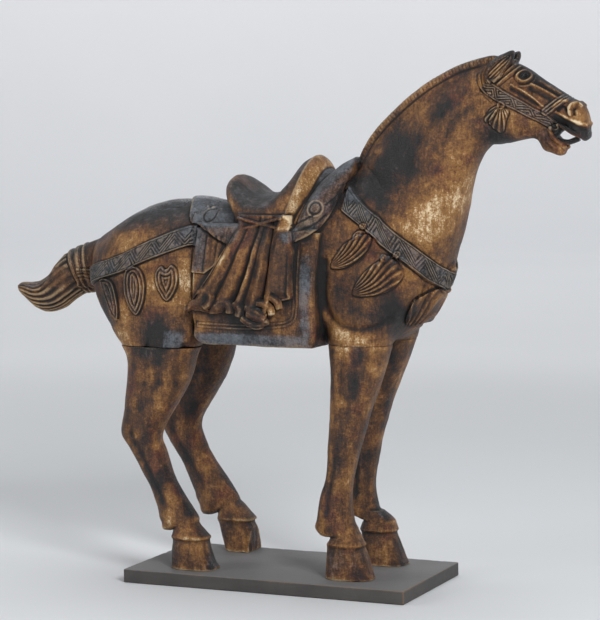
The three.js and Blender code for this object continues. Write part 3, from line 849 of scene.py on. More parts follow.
# Leaves that hang from the breast strap: outline in the side plane, tip, first and last flute in degrees.
SHOULDER_LEAVES = [
    (rounded([(91, 462), (101, 486), (116, 501), (137, 510), (147, 505), (146, 494), (136, 477), (113, 462)]),
     (85, 457), 10, 60),
    (rounded([(127, 426), (140, 453), (162, 474), (176, 482), (195, 465), (197, 449), (179, 431), (150, 424)]),
     (119, 423), 4, 56),
    (rounded([(189, 380), (198, 401), (212, 422), (230, 433), (239, 424), (228, 402), (207, 382)]),
     (178, 362), 36, 60),
]
SHOULDER_KNOTS = [(134, 520, 6, 5, 0), (126, 508, 9, 5, 40), (186, 482, 6, 6, 0), (170, 477, 8, 5, -35)]
RUMP_LEAVES = [
    rounded([(-149, 459), (-141, 452), (-139, 436), (-143, 421), (-154, 407), (-165, 418), (-172, 432),
             (-173, 447), (-165, 457), (-157, 452)]),
    rounded([(-209, 456), (-196, 449), (-189, 430), (-190, 405), (-199, 386), (-211, 394), (-220, 412),
             (-223, 432), (-221, 448)]),
    rounded([(-256, 436), (-244, 431), (-236, 414), (-231, 392), (-234, 376), (-245, 385), (-254, 402),
             (-263, 421), (-267, 433)]),
]
EAR = rounded([(296, 728), (301, 741), (310, 752), (321, 759), (334, 764), (336, 757), (334, 750), (327, 740),
               (320, 730), (312, 722), (302, 720), (296, 723)])
EAR_INSIDE = rounded([(301, 726), (304, 738), (313, 748), (323, 754), (331, 758), (331, 751), (325, 741),
                      (318, 731), (311, 725)])
EYE = rounded([(342, 729), (345.5, 734), (351, 735.5), (357, 733), (359, 728), (354, 723.5), (347.5, 723.5)])
TASSEL = [
    rounded([(319, 688), (309, 685), (299, 673), (301, 665), (310, 670), (318, 680)]),
    rounded([(317, 684), (305, 668), (311, 658), (322, 651), (327, 655), (330, 668), (333, 682)]),
]


def side_span(side):
    return (-118.0, 0.0) if side < 0 else (0.0, 118.0)


def add_trappings(block):
    block.layer((92, -118, 415), (262, 118, 590), breast_region, 3.4, 1.2)
    block.layer((-330, -118, 400), (-104, 118, 530), crupper_region, 3.2, 1.2)
    block.add(ball((240, 0, 452), (8, 11, 15), 15), 4)
    for side in (-1, 1):
        y0, y1 = side_span(side)
        for outline, *_ in SHOULDER_LEAVES:
            block.layer((75, y0, 365), (250, y1, 525), lambda x, y, z, o=outline: outline_distance(x, z, o), 3.4, 4)
        for outline in RUMP_LEAVES:
            block.layer((-275, y0, 375), (-130, y1, 470), lambda x, y, z, o=outline: outline_distance(x, z, o), 3.6, 4)
        block.layer((288, y0, 700), (352, y1, 775), lambda x, y, z: outline_distance(x, z, EAR), 4.0, 2)
        block.sink((288, y0, 700), (352, y1, 775), lambda x, y, z: outline_distance(x, z, EAR_INSIDE), 2.6, 2)


# ------------------------------------------------------------------ fine relief
def near_line(x, z, points, width):
    return np.exp(-((line_distance(x, z, points)[0] / width) ** 2))


def inside(distance, wall=1.0):
    return 1 - ease(distance / wall + 0.5)


def ring_line(x, z, centre, radius, width):
    return np.exp(-(((np.hypot(x - centre[0], z - centre[1]) - radius) / width) ** 2))


class Relief:
    """Heights to raise each point of the body by, and how gilded or dark it is."""

    def __init__(self, points, normals):
        self.x, self.y, self.z = points.T
        self.side = np.abs(self.y)
        self.normals = normals
        self.height = np.zeros(len(points))
        self.gilt = np.full(len(points), 0.57)
        self.blue = np.zeros(len(points))
        self.crisp = np.ones(len(points))
        self.plain = np.ones(len(points))
        self.outward = np.abs(normals[:, 1])

    def where(self, x0, x1, z0, z1, most=120):
        return np.flatnonzero(
            (self.x > x0) & (self.x < x1) & (self.z > z0) & (self.z < z1) & (self.side < most)
        )

    def at(self, i):
        return self.x[i], self.y[i], self.z[i]

    def dress(self, i, mask, gilt, blue):
        """Brings the finish toward the given gilding and darkness where the mask is one."""
        self.gilt[i] += (gilt - self.gilt[i]) * mask
        self.blue[i] += (blue - self.blue[i]) * mask


def straps_relief(r):
    for box_, frame_ in (((92, 262, 420, 590), breast_frame), ((-330, -112, 405, 530), crupper_frame)):
        i = r.where(*box_)
        u, v = frame_(*r.at(i))
        mask = inside(np.abs(v) - STRAP_HALF + 0.5, 1.2)
        if box_[0] > 0:
            mask *= ease((r.x[i] - 100) / 3)
        r.height[i] += 0.85 * zigzag(u, v, STRAP_HALF) * mask
        r.gilt[i] += (0.08 - r.gilt[i]) * mask
        r.blue[i] += (0.62 - r.blue[i]) * mask
        r.height[i] -= 1.1 * np.exp(-(((np.abs(v) - STRAP_HALF - 1.2) / 1.2) ** 2))
    for x0, z0, long, wide, lean in SHOULDER_KNOTS:
        i = r.where(x0 - 20, x0 + 20, z0 - 20, z0 + 20)
        x, y, z = r.at(i)
        c, s = math.cos(math.radians(lean)), math.sin(math.radians(lean))
        a, b = (x - x0) * c + (z - z0) * s, (z - z0) * c - (x - x0) * s
        away = np.hypot(a / long, b / wide)
        mask = inside(away - 1, 0.25)
        r.height[i] += mask * (2.4 * (1 - away**2) + 1.0 * np.cos(away * 10))
        r.height[i] -= 0.9 * np.exp(-(((away - 1.15) / 0.14) ** 2))
        r.gilt[i] += (0.3 - r.gilt[i]) * mask
        r.blue[i] += (0.4 - r.blue[i]) * mask


def leaves_relief(r):
    i = r.where(76, 250, 365, 530)
    x, y, z = r.at(i)
    for outline, tip, first, last in SHOULDER_LEAVES:
        d = outline_distance(x, z, outline)
        mask = inside(d + 1, 2)
        turn = (np.degrees(np.arctan2(z - tip[1], x - tip[0])) - first) / (last - first)
        reach = np.hypot(x - tip[0], z - tip[1])
        flutes = np.cos((turn + 0.12 * np.sin(reach / 18)) * 2 * math.pi * (7 if first < 30 else 5))
        r.height[i] += mask * ease(reach / 26 - 0.3) * 1.3 * (np.abs(flutes) ** 0.7 * np.sign(flutes))
        r.height[i] -= 1.2 * np.exp(-(((d - 0.4) / 1.4) ** 2))
        r.dress(i, mask, 0.35, 0.2)
        r.dress(i, 0.4 * mask * np.clip(flutes * 1.5, 0, 1), 0.9, 0)
        r.crisp[i] *= 1 - 0.5 * mask
    ribbon = [(138, 516), (146, 505), (158, 499), (176, 486), (187, 479), (196, 466)]
    r.height[i] += (np.abs(y) > 30) * (1.6 * near_line(x, z, ribbon, 1.3) - 0.8 * near_line(x, z, ribbon, 3.2))
    i = r.where(-275, -130, 378, 468)
    x, y, z = r.at(i)
    for outline in RUMP_LEAVES:
        d = outline_distance(x, z, outline)
        mask = inside(d + 1, 2)
        r.height[i] += mask * 1.3 * np.cos(2 * math.pi * (d + 1.2) / 5.6)
        r.height[i] -= 1.1 * np.exp(-(((d - 0.4) / 1.4) ** 2))
        r.dress(i, mask, 0.3, 0.42)
    for rib in ([(-156, 452), (-155, 430), (-154, 412)], [(-207, 440), (-205, 418), (-203, 398)]):
        near = (np.abs(x - rib[1][0]) < 12) * ease((np.abs(y) - 40) / 10)
        r.height[i] += 1.4 * near_line(x, z, rib, 1.8) * near


def mane_relief(r):
    i = r.where(95, 318, 590, 765, 14)
    x, y, z = r.at(i)
    d, along = line_distance(x, z, curve(MANE, 60))
    mask = 1 - ease((d - 8) / 2)
    notch = np.abs(np.sin(math.pi * along / 5.6 + 0.35 * np.sin(along * 0.31)))
    r.height[i] -= mask * 1.1 * (1 - ease(notch * 2.4))
    r.height[i] -= 1.3 * np.exp(-(((d - 11) / 1.8) ** 2))
    r.gilt[i] += (0.5 - r.gilt[i]) * mask
    r.blue[i] += (0.15 - r.blue[i]) * mask


def tail_relief(r):
    i = r.where(-450, -292, 365, 500, 30)
    x, y, z = r.at(i)
    rows = curve(TAIL, 90)
    middle = np.stack([(rows[:, 0] + rows[:, 2]) / 2, (rows[:, 1] + rows[:, 3]) / 2], 1)
    depth = np.stack([(rows[:, 0] - rows[:, 2]) / 2, (rows[:, 1] - rows[:, 3]) / 2], 1)
    gap = (x[:, None] - middle[None, :, 0]) ** 2 + (z[:, None] - middle[None, :, 1]) ** 2
    k = gap.argmin(1)
    size = np.hypot(*depth[k].T)
    up = ((x - middle[k, 0]) * depth[k, 0] + (z - middle[k, 1]) * depth[k, 1]) / size**2
    turn = np.arctan2(y / rows[k, 4], np.clip(up, -1.2, 1.2))
    run = k / 90.0
    hair = np.cos(turn * 21 + 1.1 * np.sin(run * 7) + 0.8 * np.sin(turn * 3 + 1))
    fade = ease((run - 0.30) / 0.03)
    r.height[i] += fade * 1.15 * (np.abs(hair) ** 0.7 * np.sign(hair))
    wrap = (1 - fade) * ease((run - 0.12) / 0.04)
    r.height[i] += wrap * (1.2 * np.cos(run * 110) + 0.8)
    r.height[i] -= 1.4 * np.exp(-(((run - 0.31) / 0.012) ** 2))
    r.dress(i, ease((run - 0.10) / 0.05), 0.44, 0.3)


def saddle_relief(r):
    i = r.where(-160, 125, 340, 625)
    x, y, z = r.at(i)
    a = np.abs(y)
    h = np.zeros(len(i))
    # Border of the flap: a step and two cut lines.
    border = curve([(44, 496), (44, 460), (44, 402), (36, 385), (6, 378), (-40, 375), (-104, 376)], 60)
    onflap = ease((a - 84) / 3) * (z < 500) * (x < 62)
    d, _ = line_distance(x, z, border)
    h -= onflap * (1.1 * np.exp(-((d / 1.4) ** 2)) + 0.8 * np.exp(-(((d - 4.6) / 1.3) ** 2)))
    # Scrolls and cut lines on the pads.
    for centre, radius in (((66, 544), 8), ((-100, 530), 8.5), ((-103, 547), 9)):
        near = (np.hypot(x - centre[0], z - centre[1]) < radius + 8) & (a > 40)
        near &= (centre[1] != 547) | (x < -99)
        h -= near * 1.4 * ring_line(x, z, centre, radius, 1.3)
        h += near * 0.9 * ring_line(x, z, centre, radius + 2.8, 1.2)
    cuts = ([(38, 512), (54, 516), (70, 524), (79, 534)], [(80, 549), (92, 561), (101, 580)],
            [(34, 520), (50, 527), (64, 534)], [(-97, 516), (-90, 505), (-78, 497), (-63, 490)])
    for line in cuts:
        h -= (a > 46) * 1.6 * near_line(x, z, curve(line, 12), 1.5)
    r.height[i] += h
    draped = inside(outline_distance(x, z, CLOTH_OUTLINE), 3) * (a > 80)
    r.dress(i, draped, 0.34, 0.06)
    r.crisp[i] *= (1 - 0.45 * draped) * (1 - 0.5 * (z > 508) * (z < 536) * (x < 40))
    # Creases that hang in the panel behind the saddle.
    panel = inside(outline_distance(x, z, REAR_PANEL) + 2, 3) * (a > 60)
    for start, deep, lean in ((-104, 0.6, -5), (-95, 1.4, -2), (-87, 0.9, 2), (-77, 1.3, -6), (-68, 1.0, -8)):
        r.height[i] -= panel * deep * near_line(x, z, [(start, 502), (start + lean, 446)], 2.4)
    r.crisp[i] *= 1 - 0.5 * panel
    r.dress(i, panel, 0.3, 0.55 * ease((-84 - x) / 20) + 0.2)
    pad = inside(outline_distance(x, z, FRONT_PAD), 2) + inside(outline_distance(x, z, REAR_PAD), 2)
    r.dress(i, np.clip(pad, 0, 1) * (z > 492), 0.12, 0.45)
    seat = inside(outline_distance(x, z, [(-62, 536), (20, 536), (64, 625), (-70, 600)]), 4) * (z > 532)
    seat = np.maximum(seat, (z > 545) & (x > -96) & (x < 44) & (z > 560 - 0.3 * np.abs(x + 20)))
    r.dress(i, seat, 0.4, 0.12)
    # The pommel's gilded outer band, between an edge and a groove.
    first, last = np.interp(z, [512, 568, 609], [14, 31, 41]), np.interp(z, [509, 560, 600], [33, 50, 60])
    front = (z > 512) & (x < 80)
    r.height[i] += front * (1.3 * np.exp(-(((x - first) / 1.5) ** 2)) - 1.6 * np.exp(-(((x - last) / 1.6) ** 2)))
    r.dress(i, inside(np.maximum(first - x, x - last) + 1, 3) * (z > 512), 1.1, 0)
    flap = ease((a - 88) / 3) * (z < 500)
    front = flap * ease((x - 48) / 4) * (1 - ease((x - 66) / 3))
    lower = flap * ease((368 - z) / 4) * (x < 66)
    r.dress(i, np.maximum(front, lower), 0.3, 0.75)
    wall = (x > 69) & (x < 84) & (a < 99) & (z < 500)
    r.dress(i, 0.8 * wall, 0.1, 0)
    r.crisp[i] *= 1 - 0.6 * (np.abs(x - 78) < 8) * (z < 500)
    r.crisp[i] *= 1 - 0.6 * (x > 84) * (z > 550)


def face_relief(r):
    i = r.where(270, 452, 612, 770, 40)
    x, y, z = r.at(i)
    h = np.zeros(len(i))
    side = ease((np.abs(y) - 5) / 6)

    def ridge(points, height, width):
        return height * near_line(x, z, curve(points, 4 * len(points)), width)

    # Cheek strap from the ear to the corner of the mouth.
    strap = [(294, 720), (302, 712), (323, 700), (344, 690), (362, 680), (378, 672), (393, 661)]
    d, along = line_distance(x, z, curve(strap, 24))
    signed = np.where(z > np.interp(x, *np.array(strap).T), d, -d)
    wide = 9.4 - 2.4 * ease(along / 120)
    strapped = inside(d - wide, 1.2) * ease(along / 3)
    h += strapped * (1.0 + 0.85 * zigzag(along * 1.25, signed, wide))
    h -= 1.2 * np.exp(-(((d - wide - 1.0) / 1.0) ** 2)) * ease(along / 3)
    # Noseband.
    d, along = line_distance(x, z, curve([(383, 681), (397, 692), (416, 705)], 16))
    noseband = inside(d - 6.0, 1.2)
    h += noseband * (1.1 + 0.9 * np.cos(2 * math.pi * d / 4.0))
    h -= 1.0 * np.exp(-(((d - 7.0) / 0.9) ** 2))
    # Brow band and throat strap.
    for line in ([(315, 717), (330, 730), (339, 738), (347, 745)], [(310, 721), (325, 734), (334, 742), (342, 749)]):
        h += ridge(line, 1.5, 1.2)
    for line in ([(312, 718), (328, 732), (343, 746)], [(319, 715), (333, 727), (345, 737)]):
        h += ridge(line, -1.3, 1.2)
    for line in ([(282, 731), (285, 716), (294, 703), (307, 692)], [(288, 731), (291, 718), (299, 706), (310, 696)]):
        h += ridge(line, -1.3, 1.2)
    # Eye: socket, lids and ball.
    d = outline_distance(x, z, EYE)
    lids = np.exp(-(((d - 0.8) / 1.4) ** 2))
    h -= 2.6 * inside(d + 1, 2)
    eyeball = np.exp(-(((x - 350.5) ** 2 + (z - 729.5) ** 2) / 19))
    h += 5.6 * eyeball + 2.2 * lids - 2.2 * np.exp(-(((d - 4.8) / 1.6) ** 2))
    h += ridge([(336, 721), (346, 715), (360, 716)], 1.5, 1.6)
    # Nostril: a comma-shaped rim round a hole, with a cut behind it.
    rim = ridge([(417, 677), (414.5, 684), (418.5, 691), (426, 692.5), (431.5, 689)], 1, 1.9)
    h += 3.6 * rim - 4.6 * ridge([(422, 678), (421.5, 683), (424.5, 686.5)], 1, 2.9)
    slit = ridge([(400, 683), (407, 687.5), (411.5, 683)], 1, 2.4)
    crease = ridge([(393, 687), (403, 695), (412, 695)], 1, 1.7)
    h += 1.6 * crease - 3.2 * slit
    # Ridges and hollows of the cheek and the nose.
    bones = np.zeros(len(i))
    for line in ([(361, 718), (375, 712), (397, 700)], [(335, 717), (357, 705), (379, 688)],
                 [(372, 722), (386, 714), (402, 705)]):
        bones = np.maximum(bones, ridge(line, 1, 1.6))
    hollows = np.zeros(len(i))
    for line in ([(360, 712), (374, 705), (388, 697)], [(366, 721), (382, 713), (398, 704)],
                 [(336, 711), (354, 701), (372, 690)]):
        hollows = np.maximum(hollows, ridge(line, 1, 2.6))
    h += 2.3 * bones - 2.8 * hollows
    r.height[i] += h * side
    r.dress(i, ease((x - 290) / 14), 0.5, 0.16)
    r.dress(i, side * np.clip(0.75 * hollows + 1.0 * slit, 0, 1), -0.1, 0.1)
    r.dress(i, np.clip(strapped + noseband, 0, 1) * side, 0.2, 0.5)
    r.dress(i, side * np.clip(bones + rim + crease + 0.8 * lids, 0, 1), 1.0, 0.1)
    # The tassel at the jaw: a boss over fluted petals.
    turn = np.arctan2(x - 322, 692 - z)
    away = np.hypot(x - 322, z - 689)
    for outline, gilt in zip(TASSEL, (0.0, 0.55)):
        d = outline_distance(x, z, outline)
        petal = inside(d + 0.6, 1.6) * (away > 5)
        r.height[i] += side * petal * (1.6 + 1.1 * np.cos(turn * 26 + 0.04 * away))
        r.height[i] -= side * 1.2 * np.exp(-(((d - 1.0) / 1.1) ** 2))
        r.dress(i, petal * side, gilt, 0.2)
    boss = inside(away - 5.5, 1.5)
    r.height[i] += side * boss * (2.8 - 2.2 * np.exp(-((away / 2.0) ** 2)))
    # Painted shade inside the mouth and in its opening, dark lip under a bright line, dark eye.
    mouth = inside(line_distance(x, z, [(398, 672), (412, 664), (428, 655), (442, 650)])[0] - 7.0, 3)
    r.dress(i, mouth, -0.4, 0.03)
    # Painted shade deep inside the mouth.
    deep = (np.abs(y) < 10) & (x > 378) & (x < 428) & (z > 640 - 0.3 * (x - 400)) & (z < 668 - 0.3 * (x - 395))
    r.dress(i, 1.0 * deep, -0.6, 0)
    r.dress(i, near_line(x, z, [(397, 681), (414, 672), (428, 666), (438, 664)], 2.6), 1.0, 0)
    r.dress(i, side * ridge([(392, 656), (388, 646), (395, 637), (407, 630)], 0.8, 1.8), 1.0, 0)
    # The eye's own dark, and painted shade in the opening at the front of the mouth.
    dark = np.clip(eyeball * 1.6, 0, 1) * side + np.exp(-((x - 440) ** 2 + (z - 650) ** 2) / 90)
    r.dress(i, np.clip(1.3 * dark, 0, 1), -0.8, 0)
    r.crisp[i] *= 1 - np.clip(dark, 0, 1)


def ears_relief(r):
    i = r.where(290, 350, 714, 770, 40)
    x, y, z = r.at(i)
    d = outline_distance(x, z, EAR)
    out = ease((r.outward[i] - 0.35) / 0.2)
    hollow = inside(outline_distance(x, z, EAR_INSIDE) + 0.5, 1.5) * out
    across = (x - 305) * 0.70 + (z - 733) * -0.71
    r.height[i] += hollow * 0.9 * np.cos(across * 2 * math.pi / 4.0)
    r.height[i] -= 1.4 * np.exp(-(((d - 1.2) / 1.5) ** 2)) * out
    shell = inside(d, 1.5)
    r.dress(i, shell * (1 - hollow), 0.05, 0.25)
    r.dress(i, hollow, 0.5, 0.1)
    r.dress(i, shell * ease((z - 746) / 8), -0.2, 0.25)


def muscles_relief(r):
    """Shallow grooves and swells of the muscles, and the unevenness that a chisel leaves."""
    grooves = (
        ([(296, 712), (262, 700), (232, 678), (208, 646), (190, 604)], 2.4, 9),
        ([(284, 690), (262, 672), (246, 640), (236, 600)], 1.8, 9),
        ([(124, 600), (140, 588), (152, 574)], 0.9, 1.6),
        ([(82, 470), (81, 420), (88, 396), (104, 382), (136, 377), (163, 381), (178, 391)], 4.2, 6.5),
        ([(-110, 380), (-122, 350), (-130, 342)], 3, 5),
        ([(-275, 420), (-262, 400), (-250, 372)], 1.6, 7),
        ([(-150, 400), (-170, 372), (-186, 340)], 1.6, 8),
        ([(-113, 506), (-117, 460), (-117, 400), (-116, 370)], 2.0, 2.5),
    )
    i = r.where(-300, 300, 330, 730)
    x, y, z = r.at(i)
    out = ease((np.abs(y) - 8) / 10)
    for points, deep, width in grooves:
        r.height[i] -= out * deep * near_line(x, z, curve(points, 6 * len(points)), width)
    # Painted shade under the overhang of the shoulder bulge.
    under = [(90, 408), (104, 394), (140, 388), (172, 392), (186, 404)]
    r.dress(i, 0.75 * near_line(x, z, under, 13) * (np.abs(y) > 30), 0.12, 0.12)
    here = np.stack([r.x, r.y, r.z], 1)
    r.height += 0.8 * cloud(here, 30, 11) + 0.32 * cloud(here, 9, 12)
    for seam in (FORE_SEAM, HIND_SEAM):
        r.plain *= 1 - 0.75 * np.exp(-(((r.z - seam) / 3) ** 4)) * ((r.x > 60) == (seam == FORE_SEAM))


# Bright places that are partly rubbed gold and partly painted highlights, and dark places that are partly dark lacquer
# and partly painted shade: x, z, radius, strength.
RUBBED_AND_HIGHLIGHTS = [(-104, 384, 18, 1.0), (112, 372, 24, 1.0), (222, 525, 30, 0.75), (206, 480, 18, 0.5), (-185, 430, 20, 0.6),
          (-214, 500, 26, 0.5), (-165, 505, 22, 0.4), (252, 600, 40, 0.4), (10, 412, 16, 0.6), (-66, 470, 26, 0.4),
          (338, 658, 12, 0.6), (366, 662, 10, 0.6), (294, 668, 26, 0.3), (-130, 440, 26, 0.6), (226, 412, 16, 0.5),
          (-155, 400, 20, 0.5), (196, 455, 14, 0.6), (262, 560, 24, 0.4), (80, 395, 8, 0.6), (-405, 415, 40, 0.4), (-355, 440, 34, 0.35),
          (-222, 330, 24, 0.5), (-112, 470, 16, 0.3)]
DARKENED_AND_SHADE = [(-172, 368, 26, 1.0), (112, 432, 26, 0.9), (176, 398, 34, 0.8), (182, 640, 36, 1.0), (236, 690, 26, 0.9),
            (150, 590, 26, 0.7), (-262, 380, 24, 0.6), (62, 440, 22, 0.9), (-40, 352, 60, 0.7), (150, 560, 30, 0.6),
            (270, 530, 16, 0.5), (320, 642, 20, 0.9), (262, 490, 18, 0.5), (-232, 542, 36, 1.0), (-160, 560, 40, 1.1), (-200, 552, 30, 0.6),
            (205, 600, 20, 0.6), (170, 610, 24, 0.7), (-215, 470, 14, 0.4), (380, 648, 14, 0.5), (300, 640, 24, 0.7)]


def patina_and_painted_light(r):
    for spots, sign in ((RUBBED_AND_HIGHLIGHTS, 1), (DARKENED_AND_SHADE, -1)):
        for x0, z0, radius, strength in spots:
            d2 = ((r.x - x0) ** 2 + (r.z - z0) ** 2) / radius**2
            r.gilt += sign * 0.6 * strength * np.exp(-d2)
            if sign < 0:
                r.blue += 0.14 * strength * np.exp(-d2)
    # Painted sheen: faces that turn upward get less gold and more bluish grey, standing for light reflected from
    # above.
    up = ease((r.normals[:, 2] - 0.25) / 0.6)
    r.gilt -= 0.5 * up
    r.blue += 0.34 * up
    r.gilt = np.clip(r.gilt, -0.6, 1.3)
    r.blue = np.clip(r.blue, 0, 1)


def relief_of(points, triangles, parts):
    normals = normals_of(points, triangles)
    r = Relief(points, normals)
    for part in parts:
        part(r)
    points = points + normals * r.height[:, None]
    patina_and_painted_light(r)
    return points, r


def marks_of(points, triangles, r):
    """The finish at each point, with how hollow or raised it is at a fine and a broad scale."""
    edges = edges_of(triangles)
    normals = normals_of(points, triangles)
    near = blurred(points, edges, FINE_BLUR)
    wide = blurred(near, edges, BROAD_BLUR)
    cut, form = ((points - near) * normals).sum(1), ((near - wide) * normals).sum(1)
    cut = np.where(cut > 0, cut * r.crisp, cut) * r.plain
    return {"gilt": r.gilt, "blue": r.blue, "cut": cut, "form": form * r.plain}


# ------------------------------------------------------------------ meshes in the scene
def make_object(name, points, triangles, most, attributes):
    """A smooth mesh object with a number for each point under each label, thinned to at most that many faces."""
    mesh = bpy.data.meshes.new(name)
    mesh.vertices.add(len(points))
    mesh.vertices.foreach_set("co", (points * MM).astype(np.float32).ravel())
    mesh.loops.add(triangles.size)
    mesh.loops.foreach_set("vertex_index", triangles.astype(np.int32).ravel())
    mesh.polygons.add(len(triangles))
    mesh.polygons.foreach_set("loop_start", np.arange(0, triangles.size, 3, dtype=np.int32))
    mesh.update(calc_edges=True)
    for label, values in attributes.items():
        layer = mesh.attributes.new(label, "FLOAT", "POINT")
        layer.data.foreach_set("value", values.astype(np.float32))
    obj = bpy.data.objects.new(name, mesh)
    bpy.context.scene.collection.objects.link(obj)
    if len(triangles) > most:
        reduce = obj.modifiers.new("reduce", "DECIMATE")
        reduce.ratio = most / len(triangles)
        thinned = bpy.data.meshes.new_from_object(obj.evaluated_get(bpy.context.evaluated_depsgraph_get()))
        obj.modifiers.clear()
        obj.data = thinned
        bpy.data.meshes.remove(mesh)
        thinned.name = name
    obj.data.shade_smooth()
    return obj


# ------------------------------------------------------------------ finishes
class Paint:
    """Short names for the nodes of a procedural material."""

    def __init__(self, name):
        self.material = bpy.data.materials.new(name)
        self.material.use_nodes = True
        self.tree = self.material.node_tree
        self.shader = self.tree.nodes["Principled BSDF"]
        self.place = self.tree.nodes.new("ShaderNodeTexCoord").outputs["Object"]

    def feed(self, socket, value):
        if isinstance(value, bpy.types.NodeSocket):
            self.tree.links.new(value, socket)
        else:
            socket.default_value = value

    def math(self, operation, a, b=0.0, clamp=False):
        node = self.tree.nodes.new("ShaderNodeMath")
        node.operation = operation
        node.use_clamp = clamp
        self.feed(node.inputs[0], a)
        self.feed(node.inputs[1], b)
        return node.outputs[0]

    def total(self, *terms):
        """The sum of (value, share) pairs."""
        whole = self.math("MULTIPLY", *terms[0])
        for value, share in terms[1:]:
            whole = self.math("ADD", whole, self.math("MULTIPLY", value, share))
        return whole

    def attribute(self, name):
        node = self.tree.nodes.new("ShaderNodeAttribute")
        node.attribute_name = name
        return node.outputs["Fac"]

    def noise(self, scale, detail=5.0, rough=0.55, stretch=(1, 1, 1), shift=0.0):
        """Noise centred on nought, about -0.5 to 0.5."""
        mapping = self.tree.nodes.new("ShaderNodeMapping")
        self.feed(mapping.inputs["Vector"], self.place)
        mapping.inputs["Scale"].default_value = stretch
        mapping.inputs["Location"].default_value = (shift, shift, shift)
        node = self.tree.nodes.new("ShaderNodeTexNoise")
        self.feed(node.inputs["Vector"], mapping.outputs["Vector"])
        node.inputs["Scale"].default_value = scale
        node.inputs["Detail"].default_value = detail
        node.inputs["Roughness"].default_value = rough
        return self.math("SUBTRACT", node.outputs["Fac"], 0.5)

    def between(self, value, low, high):
        """Nought below low, one above high, smooth between."""
        node = self.tree.nodes.new("ShaderNodeMapRange")
        node.interpolation_type = "SMOOTHSTEP"
        self.feed(node.inputs["Value"], value)
        node.inputs["From Min"].default_value = low
        node.inputs["From Max"].default_value = high
        return node.outputs["Result"]

    def blend(self, share, a, b):
        node = self.tree.nodes.new("ShaderNodeMix")
        node.data_type = "RGBA"
        self.feed(node.inputs["Factor"], share)
        self.feed(node.inputs["A"], a)
        self.feed(node.inputs["B"], b)
        return node.outputs["Result"]

    def bump(self, height, strength, distance):
        node = self.tree.nodes.new("ShaderNodeBump")
        node.inputs["Strength"].default_value = strength
        node.inputs["Distance"].default_value = distance
        self.feed(node.inputs["Height"], height)
        self.feed(self.shader.inputs["Normal"], node.outputs["Normal"])


def shade(red, green, blue):
    """A colour from its display values, 0 to 255."""
    return tuple(((c / 255 + 0.055) / 1.055) ** 2.4 if c > 10 else c / 3295 for c in (red, green, blue)) + (1.0,)


def gilt_lacquer():
    """Dark lacquer over gold leaf, rubbed through on what stands out, with painted shade in what is cut, a bluish grey
    of dust and painted sheen, and pale gold that is partly painted highlight.
    """
    paint = Paint("gilt_lacquer")
    drift = paint.noise(13, 5, 0.62)
    patch = paint.noise(46, 6, 0.72, shift=3.0)
    mottle = paint.noise(150, 6, 0.75)
    speck = paint.noise(420, 5, 0.8)
    streak = paint.noise(190, 5, 0.65, (1, 1, 0.14))
    cut = paint.attribute("cut")
    form = paint.attribute("form")
    # How far the lacquer is worn through, from the gilt mark, which also carries painted highlights and painted shade,
    # and from noise and the carving's rises and hollows.
    worn = paint.total(
        (paint.attribute("gilt"), 1.0), (drift, 2.1), (patch, 1.5), (mottle, 1.2), (speck, 1.8), (streak, 1.0),
        (cut, 0.35), (form, 0.36),
    )
    brown = paint.between(worn, -0.1, 0.65)
    gold = paint.between(worn, 0.4, 1.15)
    # Pale, almost white gold where the finish is most worn, standing partly for painted highlights.
    pale_gold_and_highlight = paint.between(worn, 1.0, 1.6)
    red = paint.between(paint.noise(21, 4, 0.6, shift=7.0), 0.0, 0.2)
    colour = paint.blend(red, shade(90, 56, 30), shade(92, 44, 31))
    colour = paint.blend(brown, shade(24, 22, 23), colour)
    colour = paint.blend(gold, colour, shade(158, 114, 64))
    colour = paint.blend(pale_gold_and_highlight, colour, shade(244, 222, 184))
    # Bluish grey over the gold and lacquer: partly dust, partly painted sheen of reflected light.
    dust_and_sheen = paint.total((paint.attribute("blue"), 1.0), (mottle, 1.2), (patch, 1.5), (speck, 1.3), (streak, 0.6))
    dust_and_sheen = paint.math("MULTIPLY", paint.between(dust_and_sheen, 0.3, 1.2), 0.72)
    colour = paint.blend(dust_and_sheen, colour, shade(118, 125, 134))
    ridge = paint.between(paint.total((cut, 1.0), (speck, 0.6), (mottle, 0.3)), 0.12, 0.55)
    colour = paint.blend(paint.math("MULTIPLY", ridge, 0.5), colour, shade(180, 160, 128))
    # Painted shade: fine cuts and broad hollows darkened toward near black.
    painted_recess_shade = paint.between(paint.total((cut, -1.0), (form, -0.2)), 0.06, 0.5)
    colour = paint.blend(paint.math("MULTIPLY", painted_recess_shade, 0.9), colour, shade(20, 16, 15))
    paint.feed(paint.shader.inputs["Base Color"], colour)
    paint.feed(paint.shader.inputs["Metallic"], paint.total((gold, 0.40), (pale_gold_and_highlight, 0.2)))
    rough = paint.math("ADD", paint.total((mottle, 0.5), (speck, 0.5), (gold, -0.06), (painted_recess_shade, 0.2)), 0.43)
    polish = paint.math("MULTIPLY", paint.between(paint.attribute("gilt"), -0.35, -0.55), -0.24)
    paint.feed(paint.shader.inputs["Roughness"], paint.math("ADD", rough, polish))
    paint.shader.inputs["Specular IOR Level"].default_value = 0.45
    paint.bump(paint.total((speck, 1.5), (mottle, 1.6), (streak, 1.3)), 0.9, 0.0015)
    return paint.material


